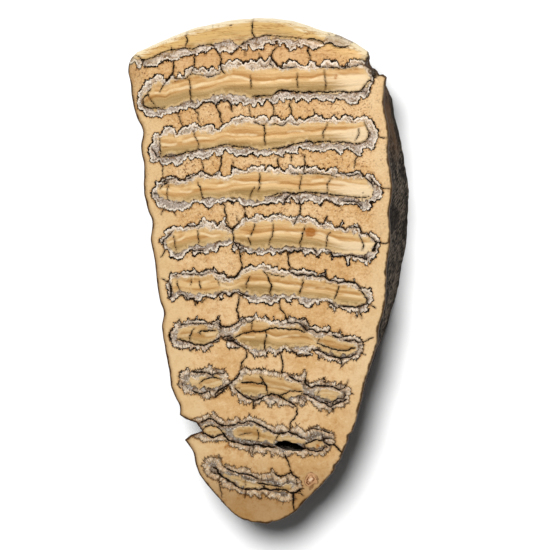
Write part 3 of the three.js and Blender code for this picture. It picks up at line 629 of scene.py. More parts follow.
CRACKS = [
    # broad end and first plate
    (0.22, [(-21.5, 67.1), (-21.6, 65.9), (-21.3, 64.6), (-21.5, 62.6)]),
    (0.22, [(-2.9, 70.3), (-2.7, 66.5), (-2.1, 65.2)]),
    (0.15, [(-2.1, 65.2), (-2.3, 64.6), (-3.6, 64.1), (-6.2, 62.6), (-7, 61.9), (-8.1, 60.4)]),
    (0.15, [(-36.3, 60.4), (-35.3, 60.3), (-34.3, 59.4), (-33, 59.2), (-30, 60.2), (-29.1, 61),
            (-26, 61.8), (-23.6, 62), (-21.6, 62.5), (-20.6, 62), (-19.1, 62.1), (-17.7, 62.8),
            (-14.4, 63.2), (-13.6, 62.7)]),
    (0.15, [(-34.3, 59.4), (-33.5, 58), (-33, 56.7)]),
    (0.12, [(-25.7, 61.8), (-25.9, 62.6)]),
    (0.22, [(-13.6, 62.7), (-11.7, 60), (-11.5, 58.8), (-11.7, 57.3), (-11.6, 56.1), (-10.5, 55.2)]),
    (0.25, [(-24.9, 58.9), (-24.9, 56.5), (-25.4, 55.1), (-27.2, 52.9)]),
    (0.12, [(-27.2, 52.9), (-28.2, 51.7), (-29, 50.1)]),
    (0.25, [(-19, 60.4), (-19.1, 58.6), (-19.1, 57.2)]),
    (0.12, [(-19.1, 57.2), (-19.5, 55.9), (-20.6, 54.7)]),
    (0.1, [(-4.7, 61), (-4.7, 59.7)]),
    (0.1, [(-1.9, 64.7), (0, 65.3), (2.2, 65.4), (11.2, 64.4)]),
    (0.22, [(12.7, 64.2), (14.6, 64.3), (16.8, 63.6), (17.8, 62.7), (19.5, 63.1), (20.3, 62.3),
            (21.4, 61.9), (22.9, 61.8), (24.1, 62)]),
    (0.2, [(13.4, 62.1), (12.9, 60.9), (13.5, 59.9), (13.5, 58.7)]),
    (0.18, [(4.4, 62.2), (3.2, 61.1), (2.6, 58.9), (5.6, 56.2), (9.9, 56.5)]),
    (0.12, [(2.6, 58.9), (2.4, 57.4), (3.2, 56.4)]),
    (0.1, [(-0.8, 60.4), (-0.4, 59.3)]),
    # second plate
    (0.12, [(-25, 53.9), (-21.6, 53.8), (-20, 55), (-17.9, 54.8), (-14.4, 54), (-11.7, 55.1)]),
    (0.15, [(-20.6, 53.7), (-20.3, 52.2), (-19.9, 47.4)]),
    (0.12, [(-3.1, 54.1), (-2.9, 52.4), (-3.1, 50.9)]),
    (0.2, [(-31.6, 51), (-33.7, 48.5), (-33.9, 47.3), (-33.6, 46.3), (-32.6, 45.7), (-27.6, 45.6)]),
    (0.15, [(-32.3, 49), (-31.3, 47.8), (-30.5, 46.2)]),
    (0.2, [(-18.9, 45), (-16.5, 46.9), (-14.1, 47.1), (-12.9, 46.3), (-11.3, 47.8), (-9.6, 47.5),
           (-8.4, 46), (-8.2, 44.4)]),
    (0.25, [(-12.9, 46.3), (-12.6, 45.2), (-11.7, 43.9), (-11.8, 42.8), (-11.4, 41.8), (-10.9, 41.3)]),
    (0.12, [(-3.4, 46.2), (-3.3, 43.5)]),
    (0.2, [(-2.9, 48.5), (0, 48.7), (1.5, 48.5), (3.2, 48.9)]),
    (0.3, [(3.2, 48.9), (4.9, 49.9), (6.4, 50.2), (7.6, 49.8), (10, 49.6), (14.9, 49.5)]),
    (0.2, [(14.9, 49.5), (18, 49.4), (22.8, 49.6), (24.8, 49.2), (27.4, 49.6), (30, 52.5), (31.1, 51.9)]),
    (0.1, [(27.4, 49.6), (29.2, 49.3), (29.4, 48)]),
    (0.1, [(10.1, 54.7), (10, 53), (10.1, 51)]),
    (0.1, [(17.7, 55.3), (17.6, 53.4), (18.1, 51.9), (17.9, 50)]),
    (0.15, [(14.9, 58), (15.4, 56.7), (17.8, 56.3), (23.1, 56), (27.7, 56.8)]),
    (0.25, [(23.1, 56), (23.6, 56.6), (24, 57.1)]),
    (0.18, [(2.4, 47.2), (3.1, 46), (3.5, 44.8), (3.3, 43.4)]),
    (0.18, [(8.5, 46.9), (7.7, 46.2), (8.4, 45), (8.3, 43.3)]),
    (0.12, [(14.7, 44.7), (14.9, 43.3)]),
    (0.15, [(-18.7, 44.9), (-17.9, 43.8), (-18.1, 42.6), (-17.5, 41.6)]),
    (0.15, [(-24.2, 44.1), (-23.4, 42.9), (-22.6, 40.7)]),
    # third plate
    (0.2, [(0.6, 40.2), (0.9, 39), (0.9, 35.1)]),
    (0.12, [(-2.2, 41.2), (0.8, 40.4), (2.1, 41.9)]),
    (0.12, [(2.5, 40.4), (3.8, 41), (4.9, 40.5), (6.1, 40.3), (7.3, 41.6)]),
    (0.2, [(28.8, 41), (30, 38.1), (29.7, 36.7), (28.9, 35.7), (26.8, 35.1), (22.2, 35.6), (16.8, 35.7),
           (15.1, 35.4)]),
    (0.25, [(15.1, 35.4), (13.4, 35.8), (12.2, 35.8), (8.5, 35), (7.1, 34.4), (4.9, 34), (2.9, 33.9)]),
    (0.12, [(18.5, 40.9), (18, 39.3), (17.2, 38.3), (17.3, 36.7)]),
    (0.1, [(27.1, 39.2), (27, 37.6), (26.2, 36)]),
    (0.1, [(32.6, 36.9), (34.7, 36.6), (35.8, 36.7)]),
    (0.22, [(-28.4, 32), (-24.7, 32.2), (-22.7, 32.6), (-21.2, 33.4), (-20.2, 33.1)]),
    (0.14, [(-20.2, 33.1), (-18.7, 33.7), (-15.2, 34), (-9.9, 35.2), (-6.1, 34.4), (-3.4, 34.5),
            (-2.2, 33.7)]),
    (0.15, [(-29, 37.2), (-29, 34.8), (-28.5, 32)]),
    (0.2, [(-31.3, 34.2), (-30.4, 33.2), (-30.1, 32), (-29, 32)]),
    (0.12, [(-19.3, 38.8), (-18.3, 36.4), (-17.8, 34.1)]),
    (0.12, [(-28.5, 29.8), (-28.2, 28.3), (-27.9, 26.1)]),
    (0.15, [(-17.2, 31), (-16.8, 29.7), (-16.4, 28.2)]),
    (0.22, [(-11.5, 32.1), (-11.3, 30.7), (-11.9, 27.5)]),
    (0.1, [(-8.1, 30.8), (-8.1, 29.3)]),
    (0.15, [(26.9, 31.7), (26.2, 30.5), (25.9, 28.4)]),
    (0.15, [(11.7, 32.2), (12.1, 30.8), (12.2, 29.3), (11.9, 27.4)]),
    (0.2, [(8.4, 32.1), (8.3, 30.5)]),
    (0.15, [(4.8, 31.7), (4.4, 30.5), (4.7, 29.2)]),
    # fourth plate
    (0.15, [(-28.2, 25), (-26.8, 25.6), (-24.5, 25.9), (-23.3, 25.2), (-21.6, 25.4), (-16.9, 27.9),
            (-14.4, 26.6), (-12.9, 26.9), (-11.9, 27.5)]),
    (0.12, [(-18.1, 24.5), (-17.2, 22.8), (-16.8, 20.6)]),
    (0.18, [(-0.7, 27), (-0.4, 24.2), (-1.1, 22.2)]),
    (0.12, [(-2, 23.2), (-2.8, 21.8), (-3.2, 20.1)]),
    (0.12, [(-26.6, 24.3), (-26.9, 20.9), (-26.3, 19.4)]),
    (0.15, [(-29, 22.8), (-28, 24), (-26.6, 24.7)]),
    (0.12, [(11.2, 26.3), (10.9, 24.1), (10.6, 22.4)]),
    (0.1, [(19.6, 25.6), (18.3, 24), (18.4, 22)]),
    (0.1, [(8.3, 26.9), (11.2, 26.8), (13.6, 27.1), (17.5, 26.7), (21.2, 25.9)]),
    (0.18, [(21, 26.9), (23.4, 26.7), (24.8, 26.2), (26.5, 26.8), (27.9, 26.8), (30.1, 24.6),
            (31.1, 23.1)]),
    (0.15, [(30.1, 25.9), (31.6, 24.1), (32.8, 23.1)]),
    (0.1, [(32.8, 23.1), (34, 22.6), (35.9, 22.6), (36.9, 22.4)]),
    (0.15, [(30, 20.4), (27.7, 20.1), (16, 21.5)]),
    (0.22, [(16, 21.5), (14.6, 21.5), (12.5, 21.9), (10.3, 21.4), (8.5, 21.4), (7.1, 21.8)]),
    (0.15, [(7.1, 21.8), (4.7, 21.5), (2.7, 20.6)]),
    (0.2, [(8.3, 21), (6.6, 19.9), (6.3, 18.6)]),
    (0.22, [(-11.7, 18.5), (-11, 18.7), (-10.4, 18), (-10.3, 16.4), (-9.8, 14.4)]),
    (0.15, [(-9.8, 14.4), (-9.4, 13.6), (-9.1, 13.1)]),
    (0.22, [(-10.4, 12.6), (-9.5, 12.1), (-8.2, 11.8), (-7.3, 12.3), (-6.5, 13.1), (-6.3, 13.8)]),
    (0.16, [(-4.7, 17.9), (-4.7, 16.3), (-4.5, 14.3)]),
    (0.12, [(-7, 15.3), (-6.8, 14)]),
    (0.2, [(-8.8, 20.4), (-7.5, 20.1), (-7, 19.8)]),
    (0.15, [(-28.1, 17), (-28.6, 15.9)]),
    (0.18, [(-25, 16.6), (-24.6, 15.3)]),
    (0.22, [(10.3, 20), (11.1, 17.6), (10.7, 15.8), (9.2, 13)]),
    (0.2, [(22.4, 19.4), (24.4, 19), (25.8, 19.2), (27.3, 18.6), (28, 17.3)]),
    (0.16, [(17.4, 19.3), (19, 19.5), (20.2, 18.6), (21.9, 17.7)]),
    # fifth plate
    (0.22, [(-21.8, 12.2), (-20.9, 12.6), (-18.6, 12.5), (-17.6, 13.2)]),
    (0.2, [(-28.8, 7.9), (-28, 7.5), (-27.8, 8.5), (-26.8, 9.6), (-25.3, 10.8)]),
    (0.15, [(-28, 7.5), (-27.5, 5.6), (-28, 4.6), (-28.7, 3.8)]),
    (0.22, [(-19.9, 5.8), (-18.9, 5.5), (-17.6, 5.7), (-16.6, 5.4)]),
    (0.16, [(-18.2, 11.2), (-17.7, 7.7)]),
    (0.12, [(-24.9, 9.7), (-24.7, 7.1), (-24.4, 5.8)]),
    (0.2, [(-8.1, 11.8), (-8.2, 10.4), (-7.8, 7.9), (-6.2, 5.9)]),
    (0.25, [(-6.2, 5.9), (-5.8, 2.6), (-5.4, 1.7), (-5.9, 0.2)]),
    (0.2, [(-7.8, 7.9), (-6.3, 7.4), (-5.3, 6.8), (-5, 6)]),
    (0.17, [(-2.1, 12.9), (-2.1, 11.9), (-3, 9.7)]),
    (0.12, [(-3.7, 9.2), (-3.3, 8.3), (-3, 7.4)]),
    (0.15, [(3.4, 12.8), (3.3, 10.9), (2.1, 7.2)]),
    (0.15, [(12.2, 12.3), (10.9, 8), (10.8, 6.7)]),
    (0.15, [(19.3, 10.6), (18.5, 9.6), (18.1, 6.7)]),
    (0.14, [(27.3, 9.6), (28.2, 8.2), (28.6, 7), (28.2, 5.7)]),
    (0.18, [(15, 14.5), (16.4, 12.8), (17.6, 13)]),
    (0.18, [(20.6, 11.8), (21.7, 12.1), (22.4, 12), (23.6, 11.3)]),
    (0.2, [(24.4, 11.8), (25.8, 12.1), (26.8, 11.8), (27.3, 12.1), (28, 10.6), (29.9, 9.9), (32.1, 7.8),
           (35, 7.5), (35.6, 8), (36.4, 8.2)]),
    (0.4, [(32.1, 7.6), (31.6, 6.5), (30.8, 5.2)]),
    (0.25, [(29.3, 4), (29.2, 3.1), (28.2, 3.5), (24.1, 4.3), (22.9, 4), (20.9, 3.9), (19.9, 4.1),
            (19.5, 4.9), (18.5, 5.1)]),
    (0.2, [(14.4, 6.3), (15.1, 5.5), (15.5, 4.5)]),
    (0.12, [(11, 6.7), (11.7, 5.9)]),
    (0.2, [(4.9, 5), (6.3, 5.2), (8.5, 5), (9.2, 5.6), (10.2, 5.2), (11, 5.7), (11.7, 5)]),
    (0.22, [(7.1, 4.8), (8, 0.9), (7.7, 0.2), (8.2, -0.5)]),
    # sixth plate
    (0.25, [(8.2, -0.5), (10.2, -1.3), (11.9, -0.9), (12.7, -1.4), (13.7, -1.4), (14.6, -1),
            (15.4, -1.7), (16.6, -1.4), (17.6, -1.4), (18.2, -2.2), (19.3, -2.6), (20.5, -2.7),
            (21.2, -3.3), (25.3, -3.1), (26.3, -3.4), (27, -4.4), (28, -5)]),
    (0.12, [(1.5, -0.5), (3.9, -1.3), (6.4, -1.7)]),
    (0.22, [(0.6, 0), (1.5, -1.2), (3, -4.4), (2.5, -5.8), (2.7, -6.8)]),
    (0.2, [(11.5, -2.5), (11.3, -4.4), (10.7, -6.4)]),
    (0.17, [(21.7, -4.4), (21.1, -6), (20.7, -7.6)]),
    (0.15, [(-23.9, -2.7), (-24.1, -3.7), (-23.3, -5.6)]),
    (0.12, [(-19.9, -2.5), (-20.1, -4)]),
    (0.2, [(-17.6, -3), (-17.5, -4.2), (-17.2, -4.8)]),
    (0.1, [(-13.2, -1.9), (-12.4, -2.7), (-12, -3.9)]),
    (0.2, [(-3.3, -1.5), (-4.3, -3.7), (-4.4, -4.7)]),
    (0.2, [(-10, -1.7), (-7.5, -1.9), (-6.8, -1.3), (-5.9, 0.2)]),
    (0.15, [(-13.9, 0), (-11.5, -1), (-11, -0.7)]),
    (0.14, [(-25, -1.3), (-23.8, -0.8), (-16.9, -1.1), (-14.9, -0.3)]),
    (0.15, [(-28.5, -2.2), (-27.3, -3), (-26.3, -3)]),
    (0.3, [(-26.2, -3.2), (-25.7, -5.5), (-25.9, -7), (-26.3, -7.7)]),
    (0.2, [(-23.7, -6.5), (-21.9, -6.7), (-21.2, -7.9), (-19.2, -7.8), (-18.6, -9.9)]),
    (0.15, [(-17, -8.7), (-16, -8), (-15.2, -7.3)]),
    (0.25, [(-12.5, -6.9), (-11.3, -6.1), (-10.3, -6.2), (-9.5, -7.1), (-8.6, -7), (-7.6, -6),
            (-6.6, -5.9), (-3.4, -7.3)]),
    (0.25, [(-6.4, -7.2), (-6.3, -8.2), (-6.9, -11.1), (-6.3, -13.7), (-6.7, -14.5)]),
    (0.22, [(5.1, -9.1), (5.3, -10.3), (5.8, -11.3), (6.5, -12), (7.2, -13.8)]),
    (0.16, [(8.8, -7.6), (10.2, -7.9)]),
    (0.25, [(19, -8.6), (20.6, -10)]),
    (0.25, [(21.6, -9.6), (23.1, -10), (27.2, -10), (29.4, -9.1), (29.4, -7.9), (28.4, -6.2),
            (27.2, -5.4)]),
    (0.18, [(29.8, -9.3), (30.8, -9.7), (31.8, -10.4)]),
    (0.22, [(27.2, -10), (27.5, -11.6), (28, -13.2)]),
    # seventh plate
    (0.18, [(-23.7, -15.1), (-19.9, -14.7), (-13.5, -14.9), (-12.3, -14.2)]),
    (0.25, [(-12.3, -15.4), (-11.3, -16.2)]),
    (0.22, [(-6.7, -14.5), (-8.3, -15.4), (-10, -15.8), (-11.5, -15.3), (-12, -14.4)]),
    (0.22, [(-6.1, -14.2), (-4.9, -13), (-3.9, -14.2), (-2.6, -14.2), (-1.7, -13)]),
    (0.2, [(-18.9, -16.2), (-19.9, -17.4), (-20.4, -18.4), (-20.3, -19.6)]),
    (0.25, [(-18.4, -17.5), (-17, -16.9), (-15, -16.7), (-13, -16.8)]),
    (0.15, [(-17.4, -17.3), (-17.3, -17.8)]),
    (0.3, [(-25.9, -16.6), (-26.1, -18.4), (-25.6, -19.9)]),
    (0.25, [(-23.9, -19.1), (-18.7, -20.6), (-16, -20.8), (-14, -19.9), (-11.5, -18.4)]),
    (0.25, [(-10.5, -19.3), (-9.6, -19.5), (-8.3, -19.2), (-7.1, -20.4), (-5.6, -21), (-4.4, -21.8),
            (-4.2, -23), (-4.4, -24.2), (-5.6, -25.5), (-6, -26.9), (-5.6, -27.6)]),
    (0.2, [(-11.3, -18.9), (-10.3, -18.2), (-8.8, -18), (-7.6, -19.2)]),
    (0.25, [(-7.5, -18.7), (-5.9, -17.6), (-2.7, -16.9), (-0.9, -17), (1.2, -16.6), (2.4, -16),
            (5.3, -16), (7.8, -16.3), (9.5, -16.2), (11.2, -16.6), (12.1, -17.2)]),
    (0.12, [(-2.6, -14.5), (-2.8, -16.7)]),
    (0.2, [(1.2, -16.9), (1.2, -18.5), (0.8, -20.5), (1.1, -22.5)]),
    (0.25, [(7.3, -14.4), (10.7, -14.4), (12.6, -16.6), (13.3, -16.1), (14.5, -16.3), (15.5, -17.2),
            (16.7, -16.8), (18.6, -17), (19.1, -16)]),
    (0.18, [(10.9, -14.2), (12.4, -13.2)]),
    (0.25, [(19.7, -17.8), (21.1, -18.3), (22.5, -18.5)]),
    (0.25, [(23, -19.1), (24.7, -19.5), (26, -19.2), (27.7, -20), (28.2, -19.7)]),
    (0.2, [(28.2, -19.7), (29.6, -19.2), (31, -18.6)]),
    (0.15, [(27.4, -22.6), (29.1, -23.3)]),
    (0.12, [(16, -19), (15.6, -20)]),
    (0.25, [(15.6, -20), (18.9, -21.3), (21.1, -21.9), (23.8, -22.1), (25, -21.5), (26.2, -21.4)]),
    (0.25, [(14.3, -21.9), (16, -22.1), (18.9, -23.6), (20.6, -23.8), (22.1, -24.3), (24.3, -23.9),
            (25, -24), (25.7, -23.1), (26.7, -23.1)]),
    (0.25, [(22.1, -24.6), (22.6, -26.3)]),
    (0.25, [(5.1, -22.6), (5.6, -24), (5.9, -25.7), (5.8, -28.4)]),
    (0.2, [(7.8, -21.4), (10.2, -23.6), (12.6, -23.6), (13.8, -23.1)]),
    # eighth plate
    (0.25, [(-19.9, -28.2), (-18.9, -28.5), (-17, -28.2), (-15.7, -28.4), (-14, -29), (-12.3, -28.5),
            (-10.5, -28.7), (-10.8, -27.7)]),
    (0.2, [(-17.7, -31.5), (-16.4, -30.5), (-15.1, -30), (-12.7, -29.9), (-11.7, -30.2)]),
    (0.3, [(-22.8, -31.2), (-22.3, -32.2)]),
    (0.22, [(-19.9, -33.7), (-18.4, -33.9), (-16.9, -34.4), (-14.8, -33.7), (-14.4, -34.6)]),
    (0.3, [(-13.3, -34.6), (-12.2, -33.4), (-9.3, -31.7), (-7.1, -29.9), (-6.1, -28.4)]),
    (0.2, [(-13.7, -35.5), (-11.2, -33.9), (-10.3, -32.9)]),
    (0.2, [(-6.1, -31.2), (-4.6, -31), (-2.9, -31.1), (0.8, -31.6), (1.6, -32.2)]),
    (0.25, [(-0.5, -29.2), (1.5, -32), (1.5, -34.2)]),
    (0.28, [(-7.8, -32.5), (-6.3, -33.9), (-4.6, -35.1), (-2, -36.1), (-0.7, -35.7), (1.3, -34.7),
            (3.2, -34.3), (4.7, -34.7), (9.3, -37.1), (9.9, -38.1)]),
    (0.25, [(9.9, -38.1), (9.9, -39.5), (9.2, -41), (8.2, -42.2), (8, -43.6)]),
    (0.2, [(8, -43.6), (7.6, -44.7)]),
    (0.18, [(4.7, -34.7), (8.3, -33.4), (11.5, -33.4)]),
    (0.12, [(11.2, -34.2), (10.5, -36.1)]),
    (0.18, [(-2.1, -36.3), (-2.3, -38.5)]),
    (0.25, [(7.6, -29.3), (8.8, -29.8), (9.8, -30.5), (11.2, -30.8)]),
    (0.3, [(12.2, -29.6), (12.2, -31), (13.5, -32.1), (14.2, -32.2), (15.1, -31.8), (18.6, -31.9),
           (19.8, -32), (20.8, -32.7), (21.7, -33), (22.7, -32.7)]),
    (0.17, [(22.7, -32.7), (23.8, -31.4), (24.4, -30.3)]),
    (0.25, [(11.7, -33.9), (16.1, -36.1), (17.8, -36.6), (18.5, -37.4), (19.2, -37.7), (21.2, -36.6),
            (23.1, -36.1), (23.9, -35.6)]),
    (0.2, [(17.8, -36.1), (19.2, -36.4), (20.2, -36.1), (21.4, -35.4), (22.9, -35.4), (23.4, -34.4),
           (22.9, -33.7)]),
    (0.2, [(19.5, -37.8), (20.3, -39)]),
    (0.15, [(24.8, -33.9), (25.6, -34.2)]),
    (0.1, [(16.1, -33), (15.8, -34.2)]),
    # ninth plate and the fissure
    (0.28, [(-17.9, -42.7), (-15.2, -41.2), (-13.9, -41.5), (-11.2, -43.2), (-9.3, -43.2),
            (-7.8, -42.9), (-6.3, -42.3), (-5.1, -42.5), (-3.9, -41.7), (-2.4, -41.9), (3, -44.8),
            (3.9, -45.1), (6.4, -45), (7.4, -44.7), (10, -45.5), (11.2, -46.4), (12.2, -46.4)]),
    (0.3, [(-17.6, -44.8), (-16.2, -45.6), (-13.7, -46.6), (-11.2, -45.6)]),
    (0.5, [(-17, -45.1), (-16.2, -45.6)]),
    (0.2, [(-17, -44.5), (-15.7, -43.4), (-14.7, -43.2), (-13.2, -43.4), (-11.7, -44.1), (-11, -45)]),
    (0.35, [(-11, -45), (-10.3, -46.3), (-9.3, -47.3), (-6.3, -48.1), (-4.6, -48.5), (-0.9, -48.4),
            (0.1, -48.8), (2, -49), (3.9, -48.9)]),
    (0.12, [(-1.2, -44.2), (-0.9, -45.9), (-1.2, -47.1)]),
    (0.1, [(-6.1, -45.9), (-5.1, -45.4), (-2.9, -45.1)]),
    (0.15, [(-2.4, -48.8), (-2.8, -51.4)]),
    (0.15, [(3.9, -47), (4.7, -45.6)]),
    (0.24, [(11.4, -49.4), (12.2, -49.1), (13.2, -49.7), (15.1, -50.1), (16.6, -49.8), (17.3, -49),
            (18.6, -48.9)]),
    (0.3, [(11.6, -48.2), (14.2, -47.1), (15.4, -46.9), (16.6, -47), (18.8, -48.4), (20.2, -48.1),
           (22.1, -49.9), (22.5, -50.7)]),
    (0.22, [(16.6, -45.1), (17.3, -46.5), (19.3, -46.3), (20, -46.8)]),
    (0.18, [(12.2, -44.6), (14.6, -43.6), (15.8, -44), (17.1, -44.1), (18.1, -44.7), (20, -45)]),
    (0.22, [(6.1, -50.9), (7.1, -52.3), (7.2, -53.1), (8, -54.8), (8.1, -56.1)]),
    # tenth plate and the tip
    (0.25, [(-11, -54.7), (-8.5, -56), (-7, -56.5), (-3.5, -57), (-2.1, -57.5), (-0.9, -58.2),
            (-0.1, -57.9)]),
    (0.25, [(2.8, -56.1), (5, -57.4), (6.5, -56.9), (8, -56.1), (9, -57.1), (10.3, -57.8)]),
    (0.33, [(-14.2, -54.9), (-13.1, -55.4), (-12.4, -56.6), (-11.2, -57.6), (-6.3, -60.9)]),
    (0.28, [(-6.3, -60.9), (-1.1, -61.1), (0.4, -60.9), (2.3, -61.1), (5.8, -60.9), (8.4, -62),
            (9.4, -61.7), (10.9, -60.7)]),
    (0.22, [(-1.6, -59.2), (5.3, -60.1)]),
    (0.12, [(-5, -58.5), (-4.9, -59.7)]),
    (0.28, [(8.7, -62.1), (8.4, -62.8), (8.6, -65.5), (8.9, -66.7)]),
    (0.15, [(9.6, -61.9), (10.6, -61.9), (11.4, -62.6)]),
    (0.12, [(-14.9, -55.6), (-14.4, -56.6), (-13.4, -56.9), (-12.9, -56.1)]),
    (0.12, [(-12.6, -58.3), (-11.6, -63.5)]),
    (0.12, [(7.3, -57.3), (7.1, -58.6)]),
    (0.12, [(9.5, -57.8), (9.7, -59.7)]),
]
FISSURE = [
    (3.4, -48.5), (5, -47.3), (7.3, -47.3), (9.5, -47.9), (11.8, -49.1), (11.2, -50), (8.8, -50.1),
    (6, -49.6),
]
FISSURE_DEPTH = 12
FISSURE_STEP = 0.4
FISSURE_WANDER = 0.25
CRACK_STEP = 0.4
CRACK_WANDER = 0.3
ENAMEL_STEP = 0.3
ENAMEL_WANDER = 0.14
CORE_STEP = 0.5
CORE_WANDER = 0.2
MARKS_PULL = 0.99  # the marks lie on the face, a little inside the rim that they were measured from
WANDER_SEED = 5

noise.seed_set(WANDER_SEED)


def wandering(points, amount, pace, seed):
    """The same points, each moved a little so that a line isn't straight from corner to corner."""
    sway = np.array([noise.noise_vector(Vector((x * pace, y * pace, seed))) for x, y in points])
    return points + amount * sway[:, :2]


def line_of(points, step, closed=True):
    """A line on the face through the given points."""
    return MARKS_PULL * straight_runs(points, step, closed)


crack_ends = []
crack_widths = []
crack_lines = []
for number, (half_width, points) in enumerate(CRACKS):
    middle = line_of(points, CRACK_STEP, closed=False)
    middle = wandering(middle, CRACK_WANDER, pace=1.4, seed=5)
    along = np.arange(len(middle)) * CRACK_STEP
    to_end = np.minimum(along, along[-1] - along)
    uneven = np.array([noise.noise(Vector((s * 0.8, number * 3.7, 1))) for s in along])
    widths = half_width * (0.75 + 0.6 * uneven) * (0.45 + 0.55 * smooth_rise(to_end / 0.8))
    facing = np.gradient(middle, axis=0)
    facing = np.column_stack([facing[:, 1], -facing[:, 0]])
    facing /= np.linalg.norm(facing, axis=1)[:, None] + 1e-9
    crack_ends.append(np.column_stack([middle[:-1], middle[1:]]))
    crack_widths.append(np.column_stack([widths[:-1], widths[1:]]))
    for side in (0, -1, 1):
        crack_lines.append((middle + facing * (side * widths)[:, None], False))
crack_ends = np.concatenate(crack_ends)
crack_widths = np.concatenate(crack_widths)

enamel_loops = []
core_loops = []
for plate in PLATES.values():
    enamel = line_of(plate["enamel"], ENAMEL_STEP)
    enamel_loops.append(wandering(enamel, ENAMEL_WANDER, pace=2.1, seed=9))
    for core in plate["cores"]:
        core_loops.append(wandering(line_of(core, CORE_STEP), CORE_WANDER, pace=1.1, seed=9))
fissure_loop = wandering(line_of(FISSURE, FISSURE_STEP), FISSURE_WANDER, pace=0.9, seed=2)


def finder(places):
    """Finds the nearest of some places."""
    tree = kdtree.KDTree(len(places))
    for i, place in enumerate(places):
        tree.insert((*place, 0), i)
    tree.balance()
    return tree


def next_ones(loop):
    """For each point of a closed line, the one after it."""
    return np.roll(loop, -1, axis=0)


def nearest(points, starts, ends, choices=4):
    """Distances from points to their nearest few short lines, with which ones and the place on each."""
    tree = finder((starts + ends) / 2)
    which = np.array([[found[1] for found in tree.find_n((*place, 0), choices)] for place in points])
    start = starts[which]
    run = ends[which] - start
    away = points[:, None] - start
    share = np.clip((away * run).sum(2) / ((run ** 2).sum(2) + 1e-12), 0, 1)
    gap = np.linalg.norm(away - share[:, :, None] * run, axis=2)
    return gap, which, share


def nearest_one(points, loops):
    """Distance from points to the nearest of some closed lines, with the place there."""
    found = nearest(points, np.concatenate(loops), np.concatenate([next_ones(loop) for loop in loops]))
    best = found[0].argmin(1)
    return [values[np.arange(len(best)), best] for values in found]


def inside(points, loop):
    """Which points lie inside a closed line."""
    within = np.zeros(len(points), bool)
    boxed = np.flatnonzero(((points > loop.min(0)) & (points < loop.max(0))).all(1))
    x, y = points[boxed].T
    odd = np.zeros(len(boxed), bool)
    for (x0, y0), (x1, y1) in zip(loop, next_ones(loop)):
        if y0 != y1:
            odd ^= ((y < y0) != (y < y1)) & (x < x0 + (y - y0) * (x1 - x0) / (y1 - y0))
    within[boxed] = odd
    return within


def depth_inside(points, loops):
    """Distance to the nearest of some closed lines: positive inside them, negative outside."""
    gap = nearest_one(points, loops)[0]
    return np.where(np.any([inside(points, loop) for loop in loops], axis=0), gap, -gap)


def from_cracks(points):
    """Distance to the nearest crack's edge, negative inside a crack."""
    gap, which, share = nearest(points, crack_ends[:, :2], crack_ends[:, 2:], choices=8)
    width = crack_widths[which]
    return (gap - width[:, :, 0] - share * (width[:, :, 1] - width[:, :, 0])).min(1)


# =============================================================================================
# The polished face and the sawn back are sheets of triangles inside the skin's edge rows. They
# keep the edge of every plate, core and crack as a line of their own, which no extrusion or
# inset can do, so they are triangulated.
# =============================================================================================

FACE_GRAIN = 0.62
BACK_GRAIN = 1.3
FACE_ROLL_ANGLES = (56, 66, 77, 90)
EDGE_MARGIN = 0.16
LINE_MARGIN = 0.45  # times the grain


def even_places(low, high, grain):
    """Places in rows over a box, all the same distance from their neighbours."""
    rows = []
    for i, y in enumerate(np.arange(low[1], high[1], grain * math.sqrt(3) / 2)):
        across = np.arange(low[0] + grain / 2 * (i % 2), high[0], grain)
        rows.append(np.column_stack([across, np.full(len(across), y)]))
    return np.concatenate(rows)


def lay_sheet(tooth, edge, lines, grain, zone, hole=None):
    """Fills a closed row of corners with triangles that keep the lines, and returns the new corners."""
    border = np.array([corner.co.xy for corner in edge])
    points = [Vector(place) for place in border]
    joins = [(i, (i + 1) % len(border)) for i in range(len(border))]
    every = np.concatenate([line for line, _ in lines])
    clear = inside(every, border) & (nearest_one(every, [border])[0] > EDGE_MARGIN)
    stops = np.cumsum([len(line) for line, _ in lines])
    for (line, closed), keep in zip(lines, np.split(clear, stops[:-1])):
        numbers = np.full(len(line), -1)
        numbers[keep] = len(points) + np.arange(keep.sum())
        points.extend(Vector(place) for place in line[keep])
        following = next_ones(numbers)
        if not closed:
            following[-1] = -1
        joins.extend((int(a), int(b)) for a, b in zip(numbers, following) if a >= 0 and b >= 0)
    taken = finder(points)
    filling = even_places(border.min(0), border.max(0), grain)
    for place in filling[inside(filling, border)]:
        if taken.find((*place, 0))[2] > grain * LINE_MARGIN:
            points.append(Vector(place))
    spots, _, triangles, origins, _, _ = geometry.delaunay_2d_cdt(points, joins, [], 1, 1e-5)
    spots = np.array(spots)
    corners = {}
    for i, from_points in enumerate(origins):
        on_edge = [p for p in from_points if p < len(border)]
        if on_edge:
            corners[i] = edge[on_edge[0]]
    middles = np.array([spots[list(triangle)].mean(0) for triangle in triangles])
    dropped = inside(middles, hole) if hole is not None else np.zeros(len(triangles), bool)
    fresh = []
    for triangle, drop in zip(triangles, dropped):
        if drop:
            continue
        for i in triangle:
            if i not in corners:
                corners[i] = tooth.verts.new((*spots[i], 0))
                corners[i][zone_of] = zone
                fresh.append(corners[i])
        around_it = [corners[i] for i in triangle]
        if len(set(around_it)) == 3:
            tooth.faces.new(around_it)
    return fresh


lines = [(loop, True) for loop in enamel_loops + core_loops] + crack_lines + [(fissure_loop, True)]
lines += [(roll_row(math.radians(angle))[:, :2], True) for angle in FACE_ROLL_ANGLES]
face_corners = lay_sheet(tooth, face_edge, lines, FACE_GRAIN, FACE, hole=fissure_loop)

